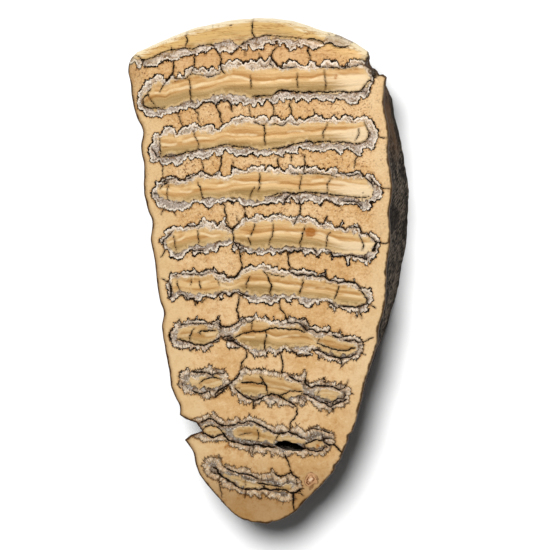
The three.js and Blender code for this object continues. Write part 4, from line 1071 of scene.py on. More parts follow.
# What time and hands have left on the face: dirt, amber-brown spots and one small nodule of
# cement near the tip. Place, reach and strength of each.
DIRT = [
    ((30.8, 56.9), 2, 1), ((30.9, 58.6), 1.9, 1), ((30.4, 60.2), 1, 1), ((31, 55.2), 1.5, 1),
    ((31.9, 54.3), 1.2, 1), ((31, 53.2), 0.9, 0.9), ((33.2, 53.6), 0.7, 0.8), ((33.4, 52.3), 0.4, 0.6),
    ((32.6, 51.6), 0.35, 0.6), ((30.8, 51.5), 0.8, 0.5), ((18.8, 64.8), 1.1, 0.6),
    ((-13.9, 67.6), 0.5, 1), ((-8.9, 67.9), 0.5, 1), ((-33.5, 46.5), 0.9, 0.5), ((-30, 21.4), 0.8, 0.8),
    ((-18.4, 18.8), 1.1, 0.6), ((-27.6, 7.5), 1, 0.6), ((-24.5, 5), 1.2, 0.5), ((-26, 6), 0.8, 0.5),
    ((-8.3, 12), 0.8, 0.5), ((-7.4, 6.6), 0.9, 0.6), ((31.6, 6.5), 1.2, 0.6), ((-10, -1.9), 0.8, 0.5),
    ((8.2, -0.7), 0.8, 0.5), ((-8.5, -6.2), 1.4, 0.5), ((-11.5, -6.5), 1, 0.5), ((29, -8.5), 0.8, 0.4),
    ((-25.9, -4.5), 1, 0.5), ((-11.6, -15.8), 1.3, 0.7), ((-25.8, -18.2), 1.1, 0.6),
    ((-9.5, -18.6), 1.3, 0.6), ((-13.8, -14.6), 0.8, 0.5), ((-4.9, -13.8), 0.9, 0.5),
    ((12.2, -15.6), 1.6, 0.8), ((18.8, -16.4), 0.7, 0.7), ((27.3, -20.5), 1, 0.6),
    ((-22.5, -31.5), 1.2, 0.5), ((-8.2, -31.2), 1, 0.7), ((-5.5, -29), 1, 0.5), ((12.2, -30.8), 1.5, 0.7),
    ((-16.1, -35), 0.9, 0.5), ((-12.5, -34.8), 1, 0.5), ((18.7, -36.9), 1, 0.5),
    ((22.9, -34.8), 0.8, 0.5), ((-12.9, -47), 1.2, 0.6), ((-17.8, -46.3), 0.6, 0.6),
    ((-9.5, -43.8), 0.9, 0.4), ((5.5, -44.6), 1.1, 0.5), ((17.2, -46), 0.8, 0.5),
    ((-12, -56.8), 0.9, 0.5), ((-6, -60.3), 1, 0.5), ((8.3, -61.9), 0.9, 0.7), ((28.3, 21.3), 0.4, 1),
    ((18, -34.7), 0.35, 0.9), ((-5.6, -11.9), 0.35, 0.8), ((-10.6, 66.9), 0.3, 0.7),
    ((-15.7, 66.8), 0.3, 0.7), ((24.3, -45.3), 0.6, 1), ((22.9, -51.2), 0.8, 1), ((20.6, -53.9), 0.5, 1),
    ((-4.7, -69.9), 0.6, 0.9), ((2.6, -70), 0.5, 0.9), ((33.7, 12.8), 0.5, 0.6),
]
AMBER = [
    ((13.6, 10.6), 1.3, 1), ((15.5, -48), 0.6, 0.5), ((-9.5, -49), 1.6, 0.3), ((20.3, 52.8), 0.8, 0.3),
]
NODULE = (13.3, -57.6)


def marked(points, spots):
    """How strongly the given spots mark each point, from 0 to 1."""
    clear = np.ones(len(points))
    for place, reach, strength in spots:
        clear *= 1 - strength * np.exp(-((points - place) ** 2).sum(1) / reach ** 2)
    return 1 - clear


spots = np.array([corner.co.xy for corner in face_corners])
gap, which, _ = nearest_one(spots, [outline])
radius = roll[which]
fall = radius - np.sqrt(radius ** 2 - np.maximum(radius - gap, 0) ** 2)
for corner, height in zip(face_corners, face_height(*spots.T) - fall):
    corner.co.z = height

# The fissure goes down between rough walls that close in a little, to a dark floor.
FISSURE_STEPS = 9
WALLS_CLOSE = 0.03
WALL_ROUGHNESS = 0.15
on_face = set(face_corners)
open_edges = [e for e in tooth.edges if e.is_boundary and set(e.verts) <= on_face]
floor_height = face_height(*fissure_loop.mean(0)) - FISSURE_DEPTH
middle = Vector((*fissure_loop.mean(0), 0))
for step in range(FISSURE_STEPS):
    made = bmesh.ops.extrude_edge_only(tooth, edges=open_edges)["geom"]
    wall = {part for part in made if isinstance(part, bmesh.types.BMVert)}
    open_edges = [e for e in made if isinstance(e, bmesh.types.BMEdge) and set(e.verts) <= wall]
    for corner in wall:
        corner[zone_of] = HOLE
        corner.co.z += (floor_height - corner.co.z) / (FISSURE_STEPS - step)
        rough = noise.noise(corner.co * 0.7)
        inward = (middle - corner.co).xy
        inward.normalize()
        corner.co.xy += inward * (WALLS_CLOSE + WALL_ROUGHNESS * rough)
bmesh.ops.triangle_fill(tooth, edges=open_edges, use_beauty=True)

# The sawn back shows the same plates, since they go right through the slab, in the outline that
# the flank has there.
HALF_WIDTH = 31
HALF_LENGTH = 70
BACK_WANDER = 0.5


def to_back(points):
    """Where the marks on the face come out on the sawn back."""
    stand = flank_offset(points[:, 1], 1.0)
    pulled = points * (1 + stand / HALF_WIDTH)[:, None]
    pulled[:, 1] = points[:, 1] * (1 + np.minimum(stand, 0) / HALF_LENGTH)
    return wandering(pulled, BACK_WANDER, pace=0.12, seed=30)


lines = [(to_back(loop), True) for loop in enamel_loops + core_loops]
lay_sheet(tooth, back_edge, lines, BACK_GRAIN, BACK)
bmesh.ops.recalc_face_normals(tooth, faces=tooth.faces)
on_back_edge = set(back_edge)
for edge in tooth.edges:
    if set(edge.verts) <= on_back_edge:
        edge.smooth = False

bmesh.ops.translate(tooth, verts=tooth.verts, vec=(*to_frame, slab_low.z * 1000))
bmesh.ops.scale(tooth, verts=tooth.verts, vec=(0.001, 0.001, 0.001))
skin = bpy.data.meshes.new("polished_section")
tooth.to_mesh(skin)
tooth.free()
section = bpy.data.objects.new("polished_section", skin)
bpy.context.collection.objects.link(section)

# Every point of the skin carries what the materials read: how far it lies inside the enamel and
# the dentine, from the nearest crack and from the rim, across the plate, and along the flank.
FAR_AWAY = 50.0
MIDDLE_REACH = 1.2  # how far to each side a plate's middle line is taken over
LOOP_GAP = 300
NODULE_REACH = 9
places = np.zeros(len(skin.vertices) * 3)
skin.vertices.foreach_get("co", places)
places = places.reshape(-1, 3) * 1000
places[:, :2] -= to_frame
zones = np.zeros(len(skin.vertices), int)
skin.attributes["zone"].data.foreach_get("value", zones)
flat = places[:, :2]
on_back = zones == BACK


def across_plates(points):
    """How far each point lies above the middle line of the plate that it is in."""
    across = np.full(len(points), FAR_AWAY)
    for plate in PLATES.values():
        loop = np.concatenate([straight_runs(core, 0.4, closed=True) for core in plate["cores"]])
        reach, middles = [], []
        for x in range(-38, 38):
            near = loop[abs(loop[:, 0] - x) < MIDDLE_REACH, 1]
            if len(near):
                reach.append(x)
                middles.append((near.max() + near.min()) / 2)
        away = points[:, 1] - np.interp(points[:, 0], reach, middles)
        across = np.where(abs(away) < abs(across), away, across)
    return across


def along_edge(points, loops):
    """The distance along the nearest enamel edge, with a gap between one loop and the next."""
    runs = [np.linalg.norm(next_ones(loop) - loop, axis=1) for loop in loops]
    starts = [np.append(0, np.cumsum(run)[:-1]) + LOOP_GAP * i for i, run in enumerate(runs)]
    _, which, share = nearest_one(points, loops)
    return np.concatenate(starts)[which] + share * np.concatenate(runs)[which]


def from_back(points):
    """The mark on the face that a place on the sawn back belongs to."""
    stand = flank_offset(points[:, 1], 1.0)
    spread = points / (1 + stand / HALF_WIDTH)[:, None]
    spread[:, 1] = points[:, 1] / (1 + np.minimum(stand, 0) / HALF_LENGTH)
    return spread


back_enamel = [to_back(loop) for loop in enamel_loops]
back_cores = [to_back(loop) for loop in core_loops]
rim_gap, which, share = nearest_one(flat, [outline])
marks = {
    "enamel_mm": np.where(on_back, depth_inside(flat, back_enamel), depth_inside(flat, enamel_loops)),
    "dentine_mm": np.where(on_back, depth_inside(flat, back_cores), depth_inside(flat, core_loops)),
    "crack_mm": from_cracks(flat),
    "edge_mm": np.where(on_back, along_edge(flat, back_enamel), along_edge(flat, enamel_loops)),
    "grain_mm": across_plates(np.where(on_back[:, None], from_back(flat), flat)),
    "rim_mm": rim_gap,
    "around_mm": (which + share) * SKIN_STEP,
    "dirt": marked(flat, DIRT),
    "amber": marked(flat, AMBER),
    "nodule_mm": np.minimum(np.linalg.norm(flat - NODULE, axis=1), NODULE_REACH),
}
for name, values in marks.items():
    held = skin.attributes.new(name, "FLOAT", "POINT")
    held.data.foreach_set("value", values.astype(np.float32))

# The polish has worn the softer parts: enamel stands a little proud, cracks are open grooves and
# the nodule is a low swirl.
ENAMEL_PROUD = 0.05
CRACK_DEPTH = 1.5  # times half its width
GROOVE_LIMIT = 0.6
SWIRL_RISE = 0.22
SWIRL_DIP = 0.12
proud = smooth_rise(marks["enamel_mm"] / 0.3) * (1 - smooth_rise((marks["dentine_mm"] + 0.2) / 0.4))
groove = np.minimum(CRACK_DEPTH * np.maximum(-marks["crack_mm"], 0), GROOVE_LIMIT)
swirl = SWIRL_RISE * np.exp(-(marks["nodule_mm"] / 1.1) ** 2)
swirl -= SWIRL_DIP * np.exp(-((marks["nodule_mm"] - 1.7) / 0.3) ** 2)
places[:, 2] += np.where(zones == FACE, ENAMEL_PROUD * proud - groove + swirl, 0)
worn = places + [*to_frame, 0]
skin.vertices.foreach_set("co", (worn / 1000).ravel())

# The face has most of the map that finishes are laid on, and the back and the flank the rest.
FACE_PATCH = (0.005, 0.005, 0.0070)  # left, bottom and size of a millimetre
BACK_PATCH = (0.005, 0.535, 0.0034)
HOLE_PATCH = (0.60, 0.56, 0.010)
FLANK_PATCH = (0.005, 0.80, 0.0070)
HOLE_SHIFT = 46
ALL_ROUND = len(outline) * SKIN_STEP
FLANK_SQUEEZE = 0.9 / (ALL_ROUND * FLANK_PATCH[2])
low = flat.min(0)
x, y, z = places.T
along = marks["around_mm"]
sides = np.array([face.loop_total for face in skin.polygons])
owner = np.repeat(np.arange(len(sides)), sides)
corner_of = np.empty(len(owner), int)
skin.loops.foreach_get("vertex_index", corner_of)
first = np.append(0, np.cumsum(sides)[:-1])
zone_high = np.maximum.reduceat(zones[corner_of], first)
all_low = np.maximum.reduceat(abs(z[corner_of]), first) < 0.01
reach = np.maximum.reduceat(along[corner_of], first) - np.minimum.reduceat(along[corner_of], first)
wraps = (reach > FAR_AWAY)[owner] & (along[corner_of] < FAR_AWAY)
unrolled = along[corner_of] + wraps * ALL_ROUND
patch_of = np.select([zone_high == BACK, all_low, zone_high == HOLE, zone_high == FLANK], [1, 1, 2, 3], 0)
across = np.column_stack([y - low[1], x - low[0]])[corner_of]
down_hole = np.column_stack([x + y + HOLE_SHIFT, THICKNESS - z])[corner_of]
down_flank = np.column_stack([unrolled * FLANK_SQUEEZE, z[corner_of]])
uv = np.empty_like(across)
for number, (patch, spread) in enumerate((
    (FACE_PATCH, across), (BACK_PATCH, across), (HOLE_PATCH, down_hole), (FLANK_PATCH, down_flank),
)):
    chosen = patch_of[owner] == number
    uv[chosen] = np.array(patch[:2]) + spread[chosen] * patch[2]
laid = skin.uv_layers.new(name="OFBake")
laid.data.foreach_set("uv", uv.ravel())
skin.polygons.foreach_set("material_index", np.array([0, 2, 1, 1])[patch_of])
skin.polygons.foreach_set("use_smooth", np.ones(len(sides), bool))

# =============================================================================================
# The finish. The polished face is satin: peach cement with brown specks, grey-brown enamel with
# a dark jagged outline and a cream fringe, and honey dentine streaked along the plate.
# =============================================================================================

LIT_BY = 1.34  # how much brighter than a sheet of white the light makes the face
FLANK_LIT_BY = 0.42  # the flank gets only the light that the floor throws back
SHEEN = (0.021, 0.013, 0.008)  # what the polish reflects on top of a colour
SHEEN_TINT = (1.0, 0.62, 0.34, 1.0)


def light(*values):
    """Red, green and blue from 0 to 255 as amounts of light."""
    return [((value / 255 + 0.055) / 1.055) ** 2.4 for value in values]


def rgb(*values):
    """A colour as it looks on the face under this light, for a shader's socket."""
    return [*(max(seen - sheen, seen * 0.15) / LIT_BY for seen, sheen in zip(light(*values), SHEEN)), 1]


def side_rgb(*values):
    """The same on the flank."""
    return [*(seen / FLANK_LIT_BY for seen in light(*values)), 1]


def add(kind, feeds, tree=None, **settings):
    """Puts a node in the tree that its feeds come from, and feeds its sockets."""
    if tree is None:
        tree = next(value for value in feeds.values() if isinstance(value, bpy.types.NodeSocket)).id_data
    made = tree.nodes.new(kind)
    for name, value in settings.items():
        setattr(made, name, value)
    for name, value in feeds.items():
        if isinstance(value, bpy.types.NodeSocket):
            tree.links.new(value, made.inputs[name])
        else:
            made.inputs[name].default_value = value
    return made


def calc(operation, *values):
    return add("ShaderNodeMath", dict(enumerate(values)), operation=operation).outputs[0]


def times(value, *others):
    for other in others:
        value = calc("MULTIPLY", value, other)
    return value


def off(value, level):
    """How far a value is from a level, on either side."""
    return calc("ABSOLUTE", calc("SUBTRACT", value, level))


def ease(value, start, end, low=0.0, high=1.0):
    """Goes softly from low to high as the value goes from start to end."""
    feeds = {"Value": value, "From Min": start, "From Max": end, "To Min": low, "To Max": high}
    return add("ShaderNodeMapRange", feeds, interpolation_type="SMOOTHSTEP").outputs["Result"]


def coats(colour, *layers):
    """A colour with others laid over it in turn, each with the share that it covers."""
    for share, over in layers:
        colour = add("ShaderNodeMix", {0: share, 6: colour, 7: over}, data_type="RGBA").outputs[2]
    return colour


def cloud(place, scale, detail=3.0, roughness=0.5):
    feeds = {"Vector": place, "Scale": scale, "Detail": detail, "Roughness": roughness}
    return add("ShaderNodeTexNoise", feeds).outputs["Fac"]


def shaken(value, noise_value, amount):
    """A value moved up and down by a noise, by up to about a third of the amount."""
    return calc("MULTIPLY_ADD", calc("SUBTRACT", noise_value, 0.5), amount, value)


def stretch(place, x, y, z):
    return add("ShaderNodeVectorMath", {0: place, 1: (x, y, z)}, operation="MULTIPLY").outputs[0]


def at(x, y=0.0):
    return add("ShaderNodeCombineXYZ", {0: x, 1: y, 2: 0.0}).outputs[0]


def axes(place):
    return add("ShaderNodeSeparateXYZ", {0: place}).outputs[:]


def read(tree, name):
    return add("ShaderNodeAttribute", {}, tree, attribute_name=name).outputs["Fac"]


tissues = bpy.data.node_groups.new("tooth_tissues", "ShaderNodeTree")
for way, kinds in (
    ("INPUT", {"Place": "Vector", "Enamel": "Float", "Dentine": "Float", "Grain": "Float",
               "Edge": "Float", "Tip": "Float"}),
    ("OUTPUT", {"Colour": "Color", "Roughness": "Float", "Height": "Float", "Soiled": "Float"}),
):
    for name, kind in kinds.items():
        tissues.interface.new_socket(name=name, in_out=way, socket_type="NodeSocket" + kind)
given = tissues.nodes.new("NodeGroupInput").outputs
place, tip, grain = given["Place"], given["Tip"], given["Grain"]
x, y, _ = axes(place)

# Cement: mottled peach, with fine brown specks near the broad end, and browner at both ends.
mottle = cloud(place, 0.5, 4, 0.7)
grit = cloud(place, 1.8, 3, 0.6)
rough = ease(y, -45.0, 30.0, 0.12, 0.42)
speck = times(
    ease(cloud(place, 1.6, 3, 0.6), 0.555, 0.61, 0, 0.95),
    ease(y, -25.0, 45.0),
    ease(mottle, 0.42, 0.56, 0.3, 1.0),
)
shade = times(
    ease(shaken(y, cloud(place, 0.3, 3), 110.0), 32.0, 60.0),
    ease(off(shaken(x, mottle, 60.0), -4.0), 34.0, 12.0, 0.1, 0.6),
)
cement = coats(
    rgb(222, 178, 122),
    (ease(cloud(place, 0.07, 2), 0.4, 0.6), rgb(234, 196, 146)),
    (ease(mottle, 0.5, 0.66, 0, 0.55), rgb(200, 148, 90)),
    (ease(mottle, 0.47, 0.34, 0, 0.5), rgb(243, 210, 162)),
    (times(ease(grit, 0.5, 0.64), rough), rgb(182, 130, 78)),
    (times(ease(grit, 0.46, 0.34), rough), rgb(248, 220, 178)),
    (speck, rgb(112, 68, 34)),
    (shade, rgb(212, 164, 110)),
    (ease(y, -50.0, -64.0, 0, 0.6), rgb(150, 108, 60)),
)

# Dentine: honey streaks along the plate, a broken pale ridge in the middle, an olive lower side.
sway = shaken(grain, cloud(place, 0.05, 2, 0.4), 4.0)
streak = cloud(at(times(x, 0.07), sway), 0.62, 4, 0.55)
ridge = calc("SUBTRACT", shaken(grain, cloud(place, 0.08, 2), 5.0), 0.3)
broken = ease(cloud(stretch(place, 1.0, 0.3, 1.0), 0.2, 3), 0.42, 0.58)
above = times(ease(ridge, 1.9, 0.8), ease(ridge, 0.1, 0.6))
pale_end = times(
    ease(shaken(x, streak, 40.0), 14.0, 26.0),
    ease(y, -8.0, 2.0),
    ease(ridge, 0.9, 0.2, 0, 0.85),
)
dentine = coats(
    rgb(200, 152, 94),
    (ease(streak, 0.4, 0.64), rgb(236, 198, 142)),
    (ease(streak, 0.46, 0.36, 0, 0.7), rgb(160, 110, 58)),
    (ease(sway, -0.2, -2.4, 0, 0.7), rgb(158, 134, 88)),
    (times(above, broken, 0.6), rgb(184, 130, 70)),
    (pale_end, rgb(244, 218, 178)),
    (times(ease(off(ridge, 0.0), 0.65, 0.1, 0, 0.8), broken), rgb(248, 220, 174)),
    (times(tip, 0.5), rgb(156, 122, 74)),
)

# The enamel's crimped outer edge: rounded lobes, and near the tip a fringe of fine spikes.
along_edge_place = at(given["Edge"])
lobe = cloud(along_edge_place, 0.62, 2)
spike = off(cloud(along_edge_place, 1.3, 2, 0.6), 0.5)
spiky = ease(tip, 0.1, 0.55, 0.45, 1.0)
stab = times(
    calc("SUBTRACT", 0.07, spike),
    times(spiky, 3.5),
    ease(cloud(along_edge_place, 0.5, 2), 0.36, 0.6, 0.35, 1.15),
)
crimp = shaken(calc("SUBTRACT", given["Enamel"], 0.05), cloud(place, 1.9, 3, 0.6), 1.1)
crimp = calc("ADD", shaken(crimp, lobe, 1.7), stab)

# Enamel: grey-brown and cloudy, in folds that run across from one side of the band to the other.
fold = cloud(at(times(given["Edge"], 0.42), times(crimp, 1.1)), 1.0, 2, 0.5)
enamel = coats(
    rgb(178, 162, 148),
    (ease(grain, -1.0, 1.0), rgb(204, 180, 152)),
    (ease(cloud(place, 0.5, 3), 0.46, 0.62, 0, 0.7), rgb(150, 136, 122)),
    (ease(fold, 0.46, 0.38, 0, 0.85), rgb(112, 82, 54)),
    (ease(fold, 0.52, 0.62, 0, 0.75), rgb(238, 222, 204)),
    (times(tip, 0.75), rgb(106, 96, 84)),
)

# Where dentine takes over, a waving border that is dark below the plate's middle and pale above.
inward = shaken(calc("ADD", given["Dentine"], 0.15), cloud(place, 0.6, 3), 2.6)
inward = shaken(shaken(inward, fold, 0.8), cloud(along_edge_place, 0.85, 1), 2.4)
is_dentine = ease(inward, -0.45, 0.35)
border = times(ease(off(inward, -0.2), 0.26, 0.07), ease(cloud(place, 0.35, 3), 0.4, 0.54, 0.2, 0.9))
border_colour = coats(rgb(66, 44, 26), (ease(grain, -0.6, 0.6), rgb(236, 214, 184)))

# Cream along the outside of the lobes, a fine brown line round them and hairs of dirt between.
fringe = calc("DIVIDE", crimp, calc("MULTIPLY_ADD", tip, 0.8, 0.58))
bare = calc("MAXIMUM", ease(lobe, 0.42, 0.52, 0.55, 1.0), times(tip, 0.9))
cream = coats(rgb(252, 238, 218), (tip, rgb(226, 196, 158)))
glint = ease(cloud(place, 2.6, 2), 0.59, 0.66, 0, 0.7)
growth_line = times(ease(off(fringe, 1.35), 0.22, 0.04), ease(cloud(place, 0.8, 3), 0.44, 0.54, 0, 0.75))
rust = times(ease(fringe, 1.4, 0.8), ease(cloud(place, 1.1, 3), 0.5, 0.6), times(spiky, 0.6))
body = coats(
    enamel,
    (is_dentine, coats(dentine, (ease(inward, 1.2, 0.3, 0, 0.55), rgb(230, 198, 146)))),
    (border, border_colour),
    (times(ease(fringe, 1.25, 0.7), bare), cream),
    (times(glint, ease(inward, 0.0, -0.5)), rgb(252, 246, 236)),
    (growth_line, rgb(104, 74, 46)),
    (rust, rgb(188, 146, 104)),
)
is_tooth = ease(crimp, -0.04, 0.04)
halo = times(ease(crimp, -0.8, -0.1, 0, 0.5), calc("SUBTRACT", 1.0, is_tooth))
here_and_there = cloud(along_edge_place, 0.37, 2)
hair = times(
    ease(spike, 0.026, 0.006),
    spiky,
    ease(shaken(crimp, here_and_there, 5.0), -0.6, -0.2),
    ease(here_and_there, 0.4, 0.56, 0.2, 1.0),
    ease(fringe, 1.5, 0.8, 0, 0.85),
)
line_width = ease(cloud(place, 0.4, 3), 0.38, 0.6, 0.12, 0.25)
line = ease(calc("SUBTRACT", line_width, off(crimp, -0.05)), -0.03, 0.05)
line = times(line, ease(cloud(place, 0.6, 2), 0.34, 0.5, 0.65, 1.0))
softened = ease(times(tip, cloud(place, 0.9, 2)), 0.2, 0.4, 1.0, 0.5)
colour = coats(
    cement,
    (is_tooth, body),
    (halo, rgb(166, 114, 64)),
    (hair, rgb(84, 54, 32)),
    (times(line, softened), rgb(26, 12, 4)),
)
is_enamel = calc("SUBTRACT", is_tooth, is_dentine)
roughness = calc("MULTIPLY_ADD", is_enamel, -0.06, 0.3)
height = calc("MULTIPLY_ADD", streak, is_dentine, times(grit, 0.5))
height = calc("MULTIPLY_ADD", is_tooth, 0.5, height)
height = calc("MULTIPLY_ADD", line, -1.0, height)
results = tissues.nodes.new("NodeGroupOutput").inputs
for name, value in (("Colour", colour), ("Roughness", roughness), ("Height", height), ("Soiled", line)):
    tissues.links.new(value, results[name])


def new_finish(name):
    """A new material for the skin: its empty tree, the place in millimetres, and that place's axes."""
    made = bpy.data.materials.new(name)
    made.use_nodes = True
    skin.materials.append(made)
    tree = made.node_tree
    tree.nodes.clear()
    place = stretch(add("ShaderNodeTexCoord", {}, tree).outputs["Object"], 1000, 1000, 1000)
    return tree, place, *axes(place)


def place_tissues(tree, place, tip):
    feeds = {name: read(tree, name.lower() + "_mm") for name in ("Enamel", "Dentine", "Grain", "Edge")}
    return add("ShaderNodeGroup", feeds | {"Place": place, "Tip": tip}, node_tree=tissues).outputs


def finish_with(colour, roughness, shine, height, depth):
    """The shader itself, its bump and the way out."""
    bump = add("ShaderNodeBump", {"Height": height, "Strength": 1.0, "Distance": depth / 1000})
    feeds = {"Base Color": colour, "Roughness": roughness, "Normal": bump.outputs[0]}
    feeds |= {"Specular IOR Level": shine, "Specular Tint": SHEEN_TINT}
    shader = add("ShaderNodeBsdfPrincipled", feeds)
    add("ShaderNodeOutputMaterial", {"Surface": shader.outputs[0]})


tree, place, x, y, _ = new_finish("polished_face")
tissue = place_tissues(tree, place, ease(y, 20.0, -70.0))
rim_gap = read(tree, "rim_mm")
in_enamel = read(tree, "enamel_mm")

# Down each side a strip of clean, yellower cement. Along the left rim it is darkened brown as painted
# shade, where the rolled edge turns away from the light, and the top-left corner is browner.
outside = ease(in_enamel, -0.2, -0.8)
right_strip = times(ease(rim_gap, 6.0, 3.0), ease(x, 18.0, 28.0), outside, 0.5)
on_left = times(ease(x, -12.0, -20.0), ease(y, 58.0, 44.0))
left_strip = times(outside, on_left, ease(rim_gap, 9.0, 5.0, 0, 0.6))
left_rim_painted_shade = times(on_left, ease(rim_gap, 1.6, 0.1, 0, 0.75))
left_corner = times(ease(x, -32.0, -37.0, 0, 0.3), ease(y, 40.0, 54.0), outside)

# The rolled broad end goes from honey to pale cream nearest the rim, partly the dentine's own colour and
# partly a painted highlight where the rounded edge turns to the light.
rim_highlight_reach = shaken(rim_gap, cloud(stretch(place, 0.12, 1.0, 1.0), 0.9, 3), 5.0)
off_enamel = calc("MAXIMUM", ease(in_enamel, 0.2, -0.1), ease(read(tree, "dentine_mm"), -0.3, 0.1))
broad_end = times(ease(y, 56.0, 61.0), calc("MULTIPLY_ADD", off_enamel, 0.65, 0.35))
stain = cloud(stretch(place, 0.06, 1.0, 1.0), 1.3, 3, 0.6)
stain = times(ease(off(stain, 0.47), 0.03, 0.008, 0, 0.75), broad_end, ease(rim_gap, 0.7, 1.3))

# Spots of dirt and amber, and the nodule: pale cement with two patchy brown rings, and a paler centre
# that is partly a painted highlight on its low swirl.
dirt = ease(shaken(read(tree, "dirt"), cloud(place, 1.2, 4, 0.6), 1.2), 0.3, 0.8, 0, 0.94)
rubble = ease(cloud(place, 1.6, 3, 0.7), 0.42, 0.62)
amber = ease(shaken(read(tree, "amber"), cloud(place, 0.9, 3), 0.8), 0.05, 0.5, 0, 0.9)
nodule = shaken(read(tree, "nodule_mm"), cloud(place, 0.5, 2), 3.4)
patchy = ease(cloud(place, 0.8, 2), 0.42, 0.56, 0.3, 1.0)
rings = [
    (times(ease(off(nodule, radius), 0.34, 0.14, 0, strength), patchy), rgb(104, 58, 28))
    for radius, strength in ((0.9, 0.95), (1.9, 0.6))
]

# Dirt fills the cracks and has crept a little way into what is beside them, and a thin dark line runs
# round the rim away from the broad end.
crack = shaken(read(tree, "crack_mm"), cloud(place, 2.1, 3, 0.6), 0.8)
in_crack = ease(crack, 0.06, -0.06)
dark_rim_line = ease(shaken(rim_gap, cloud(place, 0.4, 4, 0.6), 1.6), 0.75, 0.25, 0, 0.92)
colour = coats(
    tissue["Colour"],
    (right_strip, rgb(236, 206, 160)),
    (left_strip, rgb(232, 200, 150)),
    # painted shade along the left rim, where the rolled edge turns away
    (left_rim_painted_shade, rgb(120, 82, 46)),
    (left_corner, rgb(134, 98, 62)),
    # painted highlight on the rolled broad end, honey and then pale cream nearest the rim
    (times(ease(rim_highlight_reach, 6.5, 3.0, 0, 0.75), broad_end), rgb(238, 196, 128)),
    (times(ease(rim_highlight_reach, 2.4, 1.0, 0, 0.9), broad_end), rgb(255, 238, 200)),
    (stain, rgb(164, 108, 56)),
    (dirt, coats(rgb(16, 11, 8), (rubble, rgb(104, 88, 72)))),
    (amber, rgb(166, 98, 30)),
    (ease(nodule, 2.1, 1.5, 0, 0.75), rgb(214, 160, 118)),
    # the nodule's paler centre, partly a painted highlight on its raised swirl
    (ease(nodule, 0.6, 0.2, 0, 0.8), rgb(246, 218, 186)),
    *rings,
    (ease(crack, 0.6, 0.0, 0, 0.45), rgb(116, 80, 48)),
    (in_crack, rgb(16, 9, 4)),
    (times(dark_rim_line, calc("SUBTRACT", 1.0, broad_end)), rgb(72, 46, 26)),
)
soiled = calc("MAXIMUM", calc("MAXIMUM", in_crack, dirt), tissue["Soiled"])
roughness = calc("MULTIPLY_ADD", soiled, 0.4, tissue["Roughness"])
finish_with(colour, roughness, 0.12, tissue["Height"], 0.12)

# The flank is dull and nearly black, with paler fibres and brown cement near the broad end.
tree, place, _, y, z = new_finish("natural_flank")
way = read(tree, "around_mm")
down = calc("SUBTRACT", THICKNESS, z)
off_stroke = calc("SUBTRACT", times(way, FIBRE_COS), times(down, FIBRE_SIN))
on_stroke = calc("ADD", times(way, FIBRE_SIN), times(down, FIBRE_COS))
thread = cloud(at(times(off_stroke, 2.0), times(on_stroke, 0.3)), 1.0, 4, 0.65)
lump = cloud(place, 0.16, 5, 0.65)
brown = times(ease(y, 28.0, 38.0), ease(down, 24.0, 14.0), ease(lump, 0.6, 0.4, 0.3, 0.9))
brown_cement = coats(side_rgb(118, 90, 60), (ease(thread, 0.4, 0.65), side_rgb(158, 126, 88)))
colour = coats(
    side_rgb(14, 11, 8),
    (ease(thread, 0.43, 0.64), side_rgb(98, 88, 77)),
    (ease(lump, 0.48, 0.58, 0, 0.8), side_rgb(16, 12, 9)),
    (ease(lump, 0.44, 0.34, 0, 0.45), side_rgb(96, 85, 74)),
    (ease(down, 3.0, 1.2, 0, 0.8), side_rgb(26, 16, 10)),
    (brown, side_rgb(74, 54, 36)),
    (times(ease(y, 57.0, 66.0), 0.7), brown_cement),
)
finish_with(colour, 0.8, 0.03, calc("ADD", thread, cloud(place, 2.0, 5, 0.7)), 0.6)

# The sawn back is dull and dusty, with the plates showing through fine parallel saw marks.
tree, place, _, y, _ = new_finish("sawn_back")
tissue = place_tissues(tree, place, ease(y, 40.0, -60.0))
scratch = cloud(stretch(place, 0.25, 5.0, 1.0), 1.0, 3, 0.6)
colour = coats(tissue["Colour"], (ease(scratch, 0.35, 0.7, 0.3, 0.62), rgb(205, 182, 148)))
finish_with(colour, 0.78, 0.1, scratch, 0.15)

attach(section, "root")
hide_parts("tooth_section")

# =============================================================================================
# The stage: a white floor, a soft light from above the broad end and a camera looking down.
# =============================================================================================

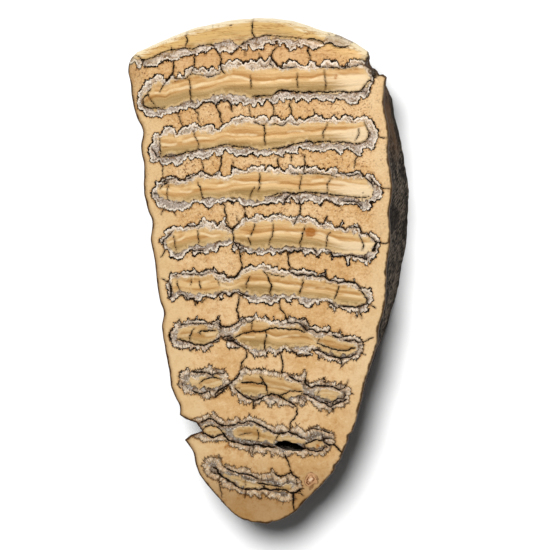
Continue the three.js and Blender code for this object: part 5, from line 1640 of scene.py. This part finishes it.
FLOOR_SIZE = 6
KEY_FROM = Vector((-0.035, 0.31, 0.95))
KEY_AWAY = 1.1
KEY_ENERGY = 16
SKY = 0.09
CAMERA_TILT = math.radians(9)
CAMERA_AWAY = 0.588
CAMERA_LENS = 140
AIM_OFF = (0.0036, -0.00125)

low, high = (Vector(corner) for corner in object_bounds())
middle = (low + high) / 2
ground = bmesh.new()
bmesh.ops.create_grid(ground, x_segments=1, y_segments=1, size=FLOOR_SIZE / 2)
bmesh.ops.translate(ground, verts=ground.verts, vec=(middle.x, middle.y, low.z))
floor_mesh = bpy.data.meshes.new("floor")
ground.to_mesh(floor_mesh)
ground.free()
floor = bpy.data.objects.new("floor", floor_mesh)
bpy.context.collection.objects.link(floor)
paper = bpy.data.materials.new("white_paper")
paper.use_nodes = True
white = paper.node_tree.nodes["Principled BSDF"].inputs
white["Base Color"].default_value = (0.92, 0.92, 0.92, 1)
white["Roughness"].default_value = 1.0
white["Specular IOR Level"].default_value = 0.0
floor_mesh.materials.append(paper)
floor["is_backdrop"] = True

key = bpy.data.lights.new("key", "AREA")
key.shape = "ELLIPSE"
key.size = 0.42
key.size_y = 0.46
key.energy = KEY_ENERGY
key_holder = bpy.data.objects.new("key", key)
key_holder.location = middle + KEY_FROM * KEY_AWAY
key_holder.rotation_euler = KEY_FROM.to_track_quat("Z", "Y").to_euler()
key_holder.visible_camera = False
bpy.context.collection.objects.link(key_holder)

world = bpy.data.worlds.new("studio")
world.use_nodes = True
sky = world.node_tree.nodes["Background"].inputs
sky["Color"].default_value = (1, 1, 1, 1)
sky["Strength"].default_value = SKY
bpy.context.scene.world = world
bpy.context.scene.view_settings.view_transform = "Standard"

aim = Vector((middle.x + AIM_OFF[0], middle.y + AIM_OFF[1], high.z))
lens = bpy.data.cameras.new("camera")
lens.lens = CAMERA_LENS
camera = bpy.data.objects.new("camera", lens)
camera.location = aim + CAMERA_AWAY * Vector((math.sin(CAMERA_TILT), 0, math.cos(CAMERA_TILT)))
camera.rotation_euler = (0, CAMERA_TILT, 0)
bpy.context.collection.objects.link(camera)
bpy.context.scene.camera = camera
